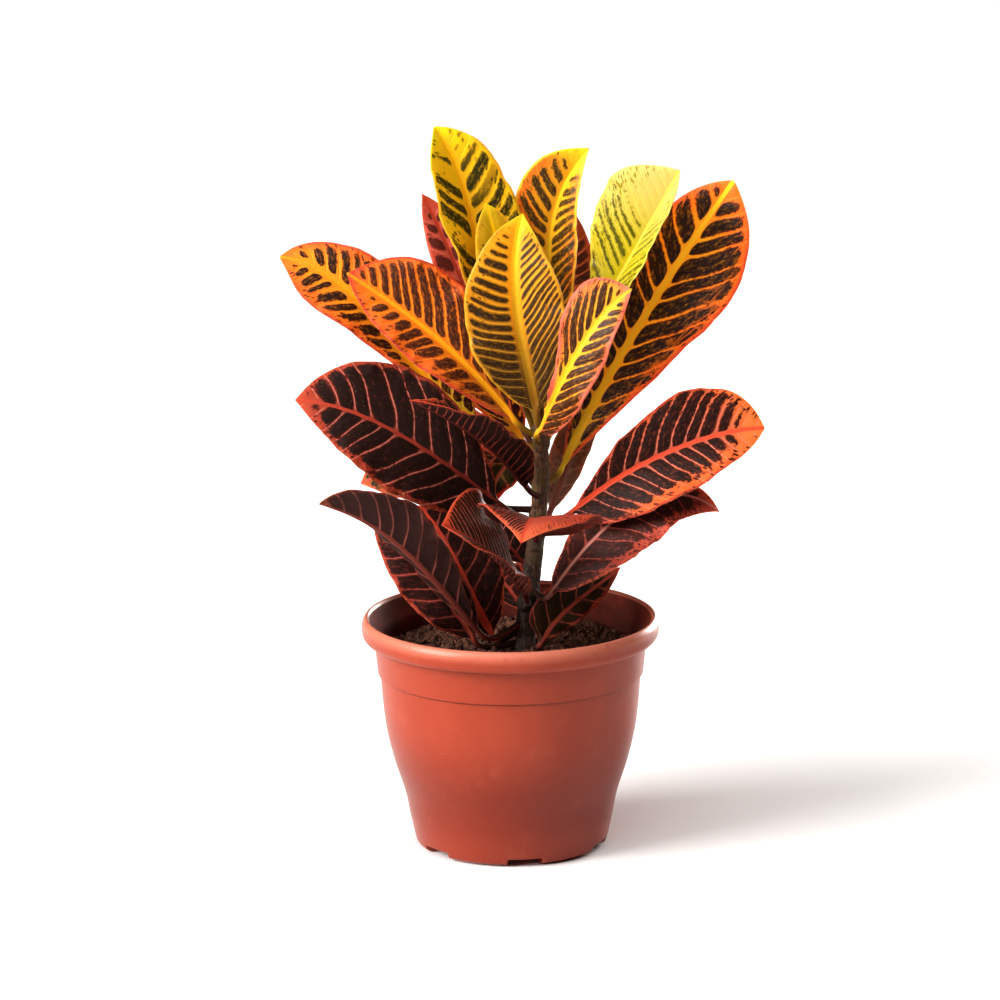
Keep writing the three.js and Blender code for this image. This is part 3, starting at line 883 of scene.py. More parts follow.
        # A face takes the vein numbers of its own half, so the halves never blend at the midrib.
        still = np.full((rows, ring), 0.5)
        left, right = (np.concatenate([still, both_faces(n, n)]).reshape(-1) for n in numbers)
        corners = grid_faces(total, ring)
        column = np.tile(np.arange(ring), total - 1)
        middle = columns // 2
        on_left = (column < middle) | (column >= ring - 1 - middle)
        chosen = np.where(on_left[:, None], left[corners], right[corners])
        along = np.concatenate([np.zeros(rows), face.s]).repeat(ring)[corners]
        under = np.where(column < columns - 1, 0.0, 1.0)
        under[(column == columns - 1) | (column == ring - 1)] = 0.3
        values = np.stack([chosen, along, np.repeat(under[:, None], 4, 1)], -1).reshape(-1, 3)
        ends = np.tile([0.5, 1.0, 0.0], (len(mesh.loops) - len(values), 1))
        carry(mesh, "vein", "CORNER", np.concatenate([values, ends]))


# Stem


@dataclass(frozen=True)
class Stem:
    """The woody stem, with a leaf scar under each petiole and the stub of a cut side shoot."""

    path: tuple[Point, ...] = ((9, 0, 56), (7.3, 1, 105), (13.2, 3, 154), (14, 0, 203))
    foot_radius: float = 5.4
    top_radius: float = 3.2
    scar_height: float = 0.9
    stub_radius: float = 3.6
    stub_reach: float = 5.5
    stub_level: float = 116
    stub_angle: float = -112
    sides: int = 56
    rings: int = 330

    SEED = 41

    def axis(self, level: float) -> np.ndarray:
        """Return the point of the stem's axis at a height."""
        low, high = self.path[0][2], self.path[3][2]
        return cubic(self.path, np.array([(level - low) / (high - low)]))[0]

    def material(self) -> bpy.types.Material:
        """Build the bark: grey-brown and cracked low down, olive and smoother near the crown.

        Returns:
            The finish.
        """
        s = Shader("stem bark")
        place = s.object_place()
        cracks = s.noise(s.stretch(place, (900, 900, 160)), 1.0, 5.0, 0.65)
        dots = s.cells(s.stretch(place, (520, 520, 300)), 1.0)[0]
        patches = s.noise(place, 90.0, 3.0, 0.55)
        old = s.mix(s.step(cracks, 0.38, 0.62), (28, 17, 12), (74, 50, 35))
        young = s.mix(s.step(cracks, 0.4, 0.64), (54, 30, 16), (118, 74, 36))
        green = s.mix(s.step(patches, 0.45, 0.7), young, (84, 66, 22))
        color = s.mix(s.step(patches * 0.03 + s.split(place)[2], 0.13, 0.175), old, green)
        dot = s.step(dots, 0.22, 0.1)
        color = s.mix(dot * 0.5, color, (150, 112, 80))
        return s.finish(color, s.span(cracks, 0.85, 0.6), dot * 0.4 + cracks, 0.6, 0.9)

    def swelling(self, level: np.ndarray, angle: np.ndarray, leaves: Sequence[Leaf]) -> np.ndarray:
        """Return how far the stem swells under each petiole.

        Args:
            level: heights on the stem.
            angle: angles round it.
            leaves: the leaves that it carries.

        Returns:
            The swelling at each height and angle.
        """
        total = np.zeros(np.broadcast(level, angle).shape)
        for leaf in leaves:
            toward = leaf.rib[0] - self.axis(leaf.level)
            around = np.maximum(np.cos(angle - math.atan2(toward[1], toward[0])), 0)
            total += self.scar_height * around**3 * hump(level - leaf.level + 1, 2.4)
            total -= 0.35 * around**2 * hump(level - leaf.level + 4.5, 0.8)
        return np.clip(total, -0.5, 1.5 * self.scar_height)

    def build(self, leaves: Sequence[Leaf]) -> None:
        """Build the stem and its stub as one piece, dress it and fix it.

        Args:
            leaves: the leaves that it carries.
        """
        rng = np.random.default_rng(self.SEED)
        t = np.linspace(0, 1, self.rings)
        centres = cubic(self.path, t)
        angle, level = ring_angles(self.sides), centres[:, 2:]
        radius = self.foot_radius + (self.top_radius - self.foot_radius) * t[:, None]
        radius = radius + self.swelling(level, angle, leaves)
        ridges = ripple(rng, angle + 0.01 * level, FULL_TURN / 7)
        knots = ripple(rng, level + 3 * np.sin(angle), 9.0)
        radius = radius + 0.12 * ridges + 0.1 * knots
        radius = radius * np.sqrt(np.clip(1.02 - smooth(t, 0.985, 1.0), 0, 1))[:, None]
        bark, stub = centres[:, None] + turned(radius, angle, 0.0), self.stub()
        points = np.concatenate([bark.reshape(-1, 3), stub.reshape(-1, 3)])
        faces = capped(bark) + capped(stub, bark.size // 3)
        settle(make_object("stem_bark", points, faces, self.material()), "bark", "stem")

    def stub(self) -> np.ndarray:
        """Shape the healed stub, a knob with a dimple where the shoot was cut.

        Returns:
            Its rings of points.
        """
        turn = math.radians(self.stub_angle)
        out = unit(np.array([math.cos(turn), math.sin(turn), 0.12]))
        side = np.array([-math.sin(turn), math.cos(turn), 0])
        up = np.cross(out, side)
        polar, angle = math.pi * np.linspace(0.04, 0.96, 22)[:, None], ring_angles(32)
        lump = 1 + 0.04 * np.sin(3 * angle + 2 * polar) + 0.03 * np.sin(7 * angle)
        wide = self.stub_radius * np.sin(polar) * lump
        ahead = self.stub_radius * np.cos(polar) - 0.75 * hump(polar, 0.5)
        around = np.cos(angle)[:, None] * side - np.sin(angle)[:, None] * up
        centre = self.axis(self.stub_level) + self.stub_reach * out
        return centre + ahead[..., None] * out + wide[..., None] * around


# Pot


@dataclass(frozen=True)
class Pot:
    """The moulded nursery pot: body, step, band, rolled rim, foot pads and drain holes."""

    rim_radius: float = 70.3
    rim_top: float = 110.4
    rim_inner: float = 66.7
    band_top: Pair = (64.3, 99.6)
    band_foot: Pair = (62.7, 83.6)
    wall: float = 2
    body: tuple[Pair, ...] = (
        (45.8, 4), (48, 14), (50.4, 26), (55.6, 42.5), (59.4, 60), (61.5, 82.3)
    )
    foot: Pair = (33.5, 42)
    foot_height: float = 3.7
    floor_top: float = 6
    boss_radius: float = 8
    pads: int = 6
    gap_angle: float = 21
    first_gap: float = 8
    drain_radius: float = 4
    drain_ring: float = 22

    EDGE, STEP_ANGLE, ARC_STEPS = 0.45, 1.5, 5
    # Heights of the creases under the rim's bead and under the band, which take painted shade.
    SHADED_CREASES = ((99.0, 99.8), (82.9, 83.5))

    def body_line(self, steps: int = 40) -> list[Pair]:
        """Draw the smooth outline of the body through its given places.

        Args:
            steps: how many pieces the line has.

        Returns:
            Radius and height of each point, bottom to top.
        """
        knots = np.array([self.body[0], *self.body, self.body[-1]], float)
        line = []
        for i in range(steps + 1):
            place = i / steps * (len(self.body) - 1)
            k = min(int(place), len(self.body) - 2)
            u, (a, b, c, d) = place - k, knots[k : k + 4]
            bend, swing = 2 * a - 5 * b + 4 * c - d, 3 * (b - c) + d - a
            line.append(tuple((b + 0.5 * u * (c - a + u * (bend + u * swing))).tolist()))
        return line

    def outline(self) -> list[Point]:
        """Return the whole section, from the boss under the floor round to the floor's top.

        Returns:
            Radius, height and the rounding of each corner.
        """
        body = self.body_line()
        inner = [(r - self.wall, z, 0.0) for r, z in body if z > self.floor_top + 3]
        rim, top, bore, low = self.rim_radius, self.rim_top, self.rim_inner, self.foot_height
        return [
            (0, 0, 0), (self.boss_radius, 0, 0.5), (self.boss_radius + 0.6, low, 0.5),
            (self.foot[0], low, 0.5), (self.foot[0] + 0.6, 0, 0.5), (self.foot[1], 0, 0.9),
            (44.9, 1.4, 0.8), *[(r, z, 0.0) for r, z in body], (body[-1][0], 83.0, 0.25),
            (*self.band_foot, 0.3), (*self.band_top, 0.3),
            (rim - 2.0, 99.9, 0.7), (rim - 0.6, 101.6, 1.0), (rim, 105, 2.0),
            (rim - 0.4, top - 2.4, 1.2), (rim - 1.7, top - 0.4, 1.0), (bore + 0.8, top, 0.7),
            (bore, top - 1.2, 0.7), (bore - 1.6, top - 6, 2.0),
            (self.band_top[0] - self.wall, self.band_top[1], 1.5),
            (self.band_foot[0] - self.wall, self.band_foot[1], 0.6),
            *inner[::-1], (inner[0][0] - 2, self.floor_top, 1.6), (0, self.floor_top, 0),
        ]

    def rounded(self, corners: Sequence[Point]) -> np.ndarray:
        """Return a line with its corners rounded off.

        Args:
            corners: each one's place and how far from it the rounding starts.

        Returns:
            Radius and height, one row a point.
        """
        line = [np.array(corners[0][:2], float)]
        for before, corner, after in zip(corners, corners[1:], corners[2:]):
            here = np.array(corner[:2], float)
            if corner[2] <= 0:
                line.append(here)
                continue
            arms = []
            for end in (before, after):
                arm = np.array(end[:2], float) - here
                far = np.linalg.norm(arm)
                arms.append(here + arm / far * min(corner[2], 0.45 * far))
            for i in range(self.ARC_STEPS + 1):
                u = i / self.ARC_STEPS
                line.append((1 - u) ** 2 * arms[0] + 2 * u * (1 - u) * here + u**2 * arms[1])
        return np.array([*line, corners[-1][:2]], float)

    def gap_centres(self) -> list[float]:
        """Return the angle of each gap between two foot pads, in degrees."""
        return [self.first_gap - 90 + i * 360 / self.pads for i in range(self.pads)]

    def angles(self) -> np.ndarray:
        """Space the sections, with some close together at every foot pad's edge.

        Returns:
            Their angles, in degrees.
        """
        near = (-self.EDGE, 0, self.EDGE)
        edges = [
            (centre + side * self.gap_angle / 2 + d) % 360
            for centre in self.gap_centres() for side in (-1, 1) for d in near
        ]
        found = np.arange(0, 360, self.STEP_ANGLE)
        kept = [a for a in found if min(abs((a - e + 180) % 360 - 180) for e in edges) > 0.6]
        return np.array(sorted(kept + edges))

    def gap_share(self, angle: np.ndarray) -> np.ndarray:
        """Tell the gaps from the foot pads.

        Args:
            angle: angles in degrees.

        Returns:
            1 inside a gap and 0 on a pad, at each angle.
        """
        pitch, edge = 360 / self.pads, self.EDGE + 0.01
        off = np.abs((angle - (self.first_gap - 90) + pitch / 2) % pitch - pitch / 2)
        return 1 - smooth(off, self.gap_angle / 2 - edge, self.gap_angle / 2 + edge)

    def inside_material(self) -> bpy.types.Material:
        """Build the inner wall's finish: the same plastic, matt, darker further down, with a crust
        of the mix just above its level.

        Returns:
            The finish.
        """
        s = Shader("pot plastic, stained inside")
        place = s.object_place()
        z = s.split(place)[2]
        clouds = s.noise(place, 45.0, 5.0, 0.65)
        fine = s.noise(place, 700.0, 4.0, 0.7)
        color = s.mix(s.step(clouds, 0.3, 0.7), (112, 46, 34), (142, 60, 42))
        # Darker further down the inner wall.
        color = s.mix(s.step(clouds * 0.02 + z, 0.121, 0.098) * 0.8, color, (52, 22, 16))
        crust = s.step(fine, 0.58, 0.72) * s.step(z, 0.099, 0.093)
        color = s.mix(crust, color, (34, 20, 15))
        return s.finish(color, s.span(clouds, 0.6, 0.8), fine, 0.3, 0.6, Specular_IOR_Level=0.15)

    def material(self) -> bpy.types.Material:
        """Build the plastic: terracotta red, softly glossy, with scuffs, dust and flow marks,
        painted shade low on the body and in the creases, and a painted highlight round the rim.

        Returns:
            The finish.
        """
        s = Shader("pot plastic")
        place = s.object_place()
        z = s.split(place)[2]
        clouds = s.noise(place, 28.0, 4.0, 0.6)
        fine = s.noise(place, 900.0, 3.0, 0.6)
        flow = s.noise(s.stretch(place, (60, 60, 9)), 1.0, 3.0, 0.5)
        scuffs = s.step(s.noise(s.stretch(place, (70, 70, 420)), 1.0, 6.0, 0.75), 0.63, 0.76)
        dust = s.step(s.noise(place, 75.0, 6.0, 0.7), 0.5, 0.8) * 0.09
        # Painted shade: the body turns darker towards its foot, a little less so at the very
        # bottom.
        low = s.step(z, 0.022, 0.006) * -0.4 + s.step(z, 0.072, 0.03)
        # Painted highlight: a pale band round the top and outer face of the rim.
        painted_rim_highlight = s.step(z, 0.1035, 0.1092) * s.step(s.noise(place, 160.0, 4.0, 0.6), 0.0, 0.5)
        coats = [
            (s.step(flow, 0.5, 0.8) * 0.35, (160, 60, 36)), (low * 0.85, (120, 43, 27)),
            (scuffs * 0.22, (232, 150, 122)), (dust, (222, 128, 98)),
            (painted_rim_highlight * 0.36, (246, 164, 138)),
        ]
        # Painted shade: dark lines in the creases under the rim's bead and under the band.
        for foot, head in self.SHADED_CREASES:
            crease_shade = s.step(z, (foot - 0.3) * MM, foot * MM)
            crease_shade = crease_shade * s.step(z, (head + 0.3) * MM, head * MM)
            coats.append((crease_shade * 0.6, (96, 34, 22)))
        color = s.mix(s.step(clouds, 0.3, 0.75), (150, 58, 35), (160, 65, 41))
        for share, coat in coats:
            color = s.mix(share, color, coat)
        rough = clouds * 0.14 + 0.24 + scuffs * 0.14 + dust * 0.4
        return s.finish(color, rough, fine * 0.3 + flow * 0.7, 0.22, 0.5, Specular_IOR_Level=0.26)

    def build(self) -> None:
        """Build the pot with its pads and holes, dress it and fix it."""
        section = self.rounded(self.outline())[1:-1]
        angle = self.angles()
        radius = np.repeat(section[:, :1], len(angle), 1)
        height = np.repeat(section[:, 1:], len(angle), 1)
        low = (height < self.foot_height) & (radius > self.foot[0] - 0.4) & (radius < 46)
        raised = height + (self.foot_height - height) * 0.985 * self.gap_share(angle)[None]
        rings = turned(radius, np.radians(angle), np.where(low, raised, height))
        points, faces = fanned(rings, [(0, 0, 0), (0, 0, self.floor_top)])
        pot = make_object("pot_body", points, faces, self.material())
        pot.data.materials.append(self.inside_material())

        # The inside runs from the rim's inner edge to the floor's top, with every second fan face.
        count = len(angle)
        inside, last = (int(np.argmax(section[:, 1])) + 9) * count, (len(section) - 1) * count
        kinds = [int(i >= inside and (i < last or (i - last) % 2)) for i in range(len(faces))]
        pot.data.polygons.foreach_set("material_index", kinds)
        self.drill(pot)
        settle(pot, "pot_plastic", "pot")

    def drill(self, pot: bpy.types.Object) -> None:
        """Cut the drain holes through the floor.

        Args:
            pot: the pot, whose mesh is replaced by the drilled one.
        """
        points, faces = np.empty((0, 3)), []
        for turn in np.radians(self.gap_centres()):
            foot_and_top = np.array([[-4.0], [2.0 * self.floor_top]])
            pin = turned(self.drain_radius, ring_angles(40), foot_and_top)
            pin = pin + turned(self.drain_ring, turn, 0.0)
            faces += capped(pin, len(points))
            points = np.concatenate([points, pin.reshape(-1, 3)])
        pins = make_object("drain_pins", points, faces, pot.data.materials[0])
        cut = pot.modifiers.new("drains", "BOOLEAN")
        cut.object, cut.operation, cut.solver = pins, "DIFFERENCE", "EXACT"
        pot.data = plain_mesh(pot)
        bpy.data.objects.remove(pins)


# Potting mix


@dataclass(frozen=True)
class Grain:
    """One kind of grain on the mix: its look, number and sizes.

    Attributes:
        name: the piece that holds the grains.
        seed: the seed of their random draws.
        density: grains a square metre.
        size: the smallest and the largest.
        flat: how far a grain is squashed along each of its own axes.
        fine: how finely a grain is divided.
    """

    name: str
    seed: int
    density: float
    size: Pair
    flat: Point
    fine: int


@dataclass(frozen=True)
class PottingMix:
    """The damp mix of peat and bark: an uneven top, with crumbs and chips of bark on it."""

    level: float = 93
    lump: float = 1.6
    top_radius: float = 61.4
    foot_radius: float = 41.0
    foot_level: float = 7.0
    rings: int = 110
    sides: int = 220
    crumbs: Grain = Grain("mix_crumbs", 3, 460000, (0.4, 1.3), (1, 0.8, 0.7), 1)
    lumps: Grain = Grain("mix_lumps", 7, 84000, (1.2, 3.0), (1, 0.85, 0.6), 2)
    chips: Grain = Grain("mix_chips", 11, 34000, (1.1, 3.2), (1.6, 0.6, 0.28), 2)

    def top(self, x: np.ndarray, y: np.ndarray) -> np.ndarray:
        """Shape the mix's top.

        Args:
            x: places to the right of the middle.
            y: places behind the middle.

        Returns:
            The height at each place.
        """
        waves = np.sin(0.11 * x + 0.4) * np.cos(0.13 * y - 0.7)
        lumps = np.sin(0.61 * x + 1.3 * np.sin(0.4 * y)) * np.sin(0.53 * y + 0.9 * np.sin(0.37 * x))
        fine = np.sin(1.9 * x + 1.1 * np.sin(1.3 * y)) * np.sin(1.7 * y + 0.8 * np.sin(1.5 * x + 1))
        return self.level + self.lump * (0.6 * waves + 0.5 * lumps) + 0.3 * fine

    def material(self, name: str, dark: Color, pale: Color) -> bpy.types.Material:
        """Build a damp, crumbly finish.

        Args:
            name: the material's name.
            dark: its damp colour.
            pale: its drier colour.

        Returns:
            The material.
        """
        s = Shader(name)
        place = s.object_place()
        coarse = s.noise(place, 160.0, 4.0, 0.65)
        fine = s.noise(place, 1300.0, 5.0, 0.7)
        middle, hue = s.cells(place, 520.0)
        color = s.mix(s.step(fine, 0.35, 0.7), dark, pale)
        color = s.mix(s.step(s.split(hue)[0], 0.8, 0.95) * 0.7, color, (88, 56, 40))
        color = s.mix(s.step(coarse, 0.45, 0.7) * 0.6, color, (24, 13, 9))
        height = middle * -0.5 + fine
        return s.finish(color, s.span(fine, 0.7, 0.95), height, 0.9, Specular_IOR_Level=0.2)

    def scatter(self, grain: Grain) -> bpy.types.NodeTree:
        """Build a node tree that strews grains over a surface.

        Args:
            grain: the kind of grain.

        Returns:
            The tree, with named inputs for its sizes.
        """
        group = bpy.data.node_groups.new("strewn grains", "GeometryNodeTree")
        small, large = (size * MM for size in grain.size)
        for label, way, kind, value in (
            ("Geometry", "INPUT", "Geometry", None), ("Geometry", "OUTPUT", "Geometry", None),
            ("Density", "INPUT", "Float", grain.density), ("Smallest", "INPUT", "Float", small),
            ("Largest", "INPUT", "Float", large), ("Finish", "INPUT", "Material", None),
        ):
            socket = group.interface.new_socket(label, in_out=way, socket_type="NodeSocket" + kind)
            if value is not None:
                socket.default_value = value
        nodes = Tree(group)
        wire, given = nodes.wire, nodes.put("NodeGroupInput", {}).outputs
        spread = {"Mesh": given[0], "Density": given["Density"], "Seed": grain.seed}
        spots = wire(0, "GeometryNodeDistributePointsOnFaces", spread)
        ball = wire(0, "GeometryNodeMeshIcoSphere", {"Radius": 1.0, "Subdivisions": grain.fine})
        shaped = wire(0, "GeometryNodeTransform", {"Geometry": ball, "Scale": grain.flat})
        turns = {"Max": (6.28,) * 3, "Seed": grain.seed + 1}
        turn = wire(0, "FunctionNodeRandomValue", turns, data_type="FLOAT_VECTOR")
        sizes = {2: given["Smallest"], 3: given["Largest"], "Seed": grain.seed + 2}
        size = wire(1, "FunctionNodeRandomValue", sizes, data_type="FLOAT")
        put_down = {"Points": spots, "Instance": shaped, "Rotation": turn, "Scale": size}
        placed = wire(0, "GeometryNodeInstanceOnPoints", put_down)
        real = wire(0, "GeometryNodeRealizeInstances", {"Geometry": placed})
        place = wire(0, "GeometryNodeInputPosition", {})
        wrinkle = wire(1, "TexNoise", {"Vector": place, "Scale": 700.0})
        amount = 0.9 * large
        centred = {0: wrinkle, 1: (amount,) * 3, 2: (-0.5 * amount,) * 3}
        offset = wire(0, "VectorMath", centred, operation="MULTIPLY_ADD")
        moved = wire(0, "GeometryNodeSetPosition", {"Geometry": real, "Offset": offset})
        finish = {"Geometry": moved, "Material": given["Finish"]}
        dressed = wire(0, "GeometryNodeSetMaterial", finish)
        nodes.put("NodeGroupOutput", {0: dressed})
        return group

    def strew(self, grain: Grain, surface: np.ndarray, material: bpy.types.Material) -> None:
        """Strew grains over the mix's top as a piece of their own.

        Args:
            grain: the kind of grain.
            surface: the rings of the surface that carries them.
            material: their finish.
        """
        faces = grid_faces(len(surface), self.sides).tolist()
        ground = make_object("mix_ground", surface.reshape(-1, 3), faces, material)
        modifier = ground.modifiers.new("grains", "NODES")
        modifier.node_group = self.scatter(grain)
        for item in modifier.node_group.interface.items_tree:
            if item.in_out == "INPUT" and item.name == "Finish":
                modifier[item.identifier] = material
        mesh = plain_mesh(ground)
        bpy.data.objects.remove(ground)
        mesh.shade_smooth()
        settle(show(grain.name, mesh), "potting_mix")

    def build(self) -> None:
        """Build the mix, dress it, and strew its crumbs and chips."""
        angle = ring_angles(self.sides)
        radii = self.top_radius * np.sqrt(np.linspace(1, 0.0004, self.rings))
        flat = turned(radii[:, None], angle, 0.0)
        top = turned(radii[:, None], angle, self.top(flat[..., 0], flat[..., 1]))
        share = np.array([[0.0], [0.5], [1.0]])
        radius = self.foot_radius + share * (self.top_radius - self.foot_radius)
        level = self.foot_level + share * (self.level - 3 - self.foot_level)
        rings = np.concatenate([turned(radius, angle, level), top])
        damp = self.material("potting mix", (62, 37, 27), (162, 110, 86))
        piece = make_object("mix_top", rings.reshape(-1, 3), capped(rings), damp)
        settle(piece, "potting_mix", "potting_mix")
        bark = self.material("bark chips", (66, 38, 27), (140, 96, 74))
        for grain, material in ((self.crumbs, damp), (self.lumps, damp), (self.chips, bark)):
            clear = radii < self.top_radius - 1.4 * grain.size[1]
            self.strew(grain, top[clear], material)


# Light, floor and camera


@dataclass(frozen=True)
class Studio:
    """The pale floor, the soft lights and the camera at the photograph's angle."""

    elevation: float = 13.43
    distance: float = 2600
    aim: float = 166
    roll: float = 0.37
    focal: float = 5.545
    centre: float = 0.5096
    gamma: float = 0.9
    sensor: float = 36
    floor_half: float = 9000
    floor_level: float = -0.2

    LOOKED_AT = (0, 0, 0.17)

    def camera(self) -> None:
        """Place the camera as the photograph's was."""
        data = bpy.data.cameras.new("camera")
        data.sensor_width = self.sensor
        data.lens = self.focal * self.sensor
        data.shift_x = 0.5 - self.centre
        data.clip_end = 60
        camera = show("camera", data)
        tilt = math.radians(self.elevation)
        back, rise = self.distance * math.cos(tilt), self.distance * math.sin(tilt)
        turn = Matrix.Rotation(math.pi / 2 - tilt, 4, "X")
        turn = turn @ Matrix.Rotation(math.radians(-self.roll), 4, "Z")
        camera.matrix_world = Matrix.Translation(Vector((0, -back, self.aim + rise)) * MM) @ turn
        bpy.context.scene.camera = camera

    def light(
        self, name: str, kind: str, energy: float, color: Color, place: Vector, way: Vector
    ) -> bpy.types.Object:
        """Add a light.

        Args:
            name: the light's name.
            kind: the kind of light.
            energy: its power in watts, or its strength in watts a square metre for a sun.
            color: its colour.
            place: where it hangs, in metres.
            way: the way that it shines.

        Returns:
            The light.
        """
        data = bpy.data.lights.new(name, kind)
        data.energy = energy
        data.color = linear(color)[:3]
        light = show(name, data)
        turn = way.to_track_quat("-Z", "Y").to_matrix().to_4x4()
        light.matrix_world = Matrix.Translation(place) @ turn
        return light

    def lamp(self, name: str, place: Point, size: Pair, power: float, color: Color) -> None:
        """Add a soft lamp with a broad face that looks at the plant.

        Args:
            name: the lamp's name.
            place: where it hangs, in metres.
            size: its width and height, in metres.
            power: its power in watts.
            color: its colour.
        """
        way = Vector(self.LOOKED_AT) - Vector(place)
        lamp = self.light(name, "AREA", power, color, Vector(place), way)
        lamp.data.shape = "RECTANGLE"
        lamp.data.size, lamp.data.size_y = size
        lamp.visible_camera = False

    def sun(self, name: str, strength: float, breadth: float, azimuth: float, high: float) -> None:
        """Add a light so far off that it falls evenly on the whole floor.

        Args:
            name: the light's name.
            strength: its strength in watts a square metre.
            breadth: how broad it looks from the plant, in degrees.
            azimuth: where it stands, in degrees to the right of the camera's own place.
            high: how high it stands, in degrees.
        """
        flat, rise = math.radians(azimuth), math.radians(high)
        way = (-math.sin(flat) * math.cos(rise), math.cos(flat) * math.cos(rise), -math.sin(rise))
        sun = self.light(name, "SUN", strength, (255, 254, 252), Vector(), Vector(way))
        sun.data.angle = math.radians(breadth)

    def floor(self) -> None:
        """Lay the pale floor."""
        s = Shader("pale floor")
        grain = s.noise(s.object_place(), 3.0, 3.0, 0.5)
        color = s.mix(grain, (238, 238, 238), (243, 243, 243))
        material = s.finish(color, 0.8, grain, 0.1, 0.1)
        far = self.floor_half
        corners = ((-far, -far), (far, -far), (far, far), (-far, far))
        points = np.array([(x, y, self.floor_level) for x, y in corners])
        make_object("floor", points, [(0, 1, 2, 3)], material)

    def build(self) -> None:
        """Set the stage."""
        self.camera()
        self.floor()
        self.sun("key", 5.9, 38, -64, 27)
        self.sun("overhead", 1.2, 70, -10, 74)
        self.lamp("front", (-0.15, -0.6, 0.8), (0.5, 0.4), 1.8, (255, 253, 250))
        self.lamp("right edge", (0.78, 1.15, 0.3), (0.6, 0.5), 26, (255, 250, 246))
        world = bpy.data.worlds.new("studio")
        world.use_nodes = True
        backdrop = world.node_tree.nodes["Background"]
        backdrop.inputs["Color"].default_value = linear((250, 250, 250))
        backdrop.inputs["Strength"].default_value = 0.02
        scene = bpy.context.scene
        scene.world = world
        scene.view_settings.view_transform = "Standard"
        scene.view_settings.exposure = 0.0
        scene.view_settings.gamma = self.gamma
        log.info("studio: camera %.2f m away, four lights", self.distance * MM)


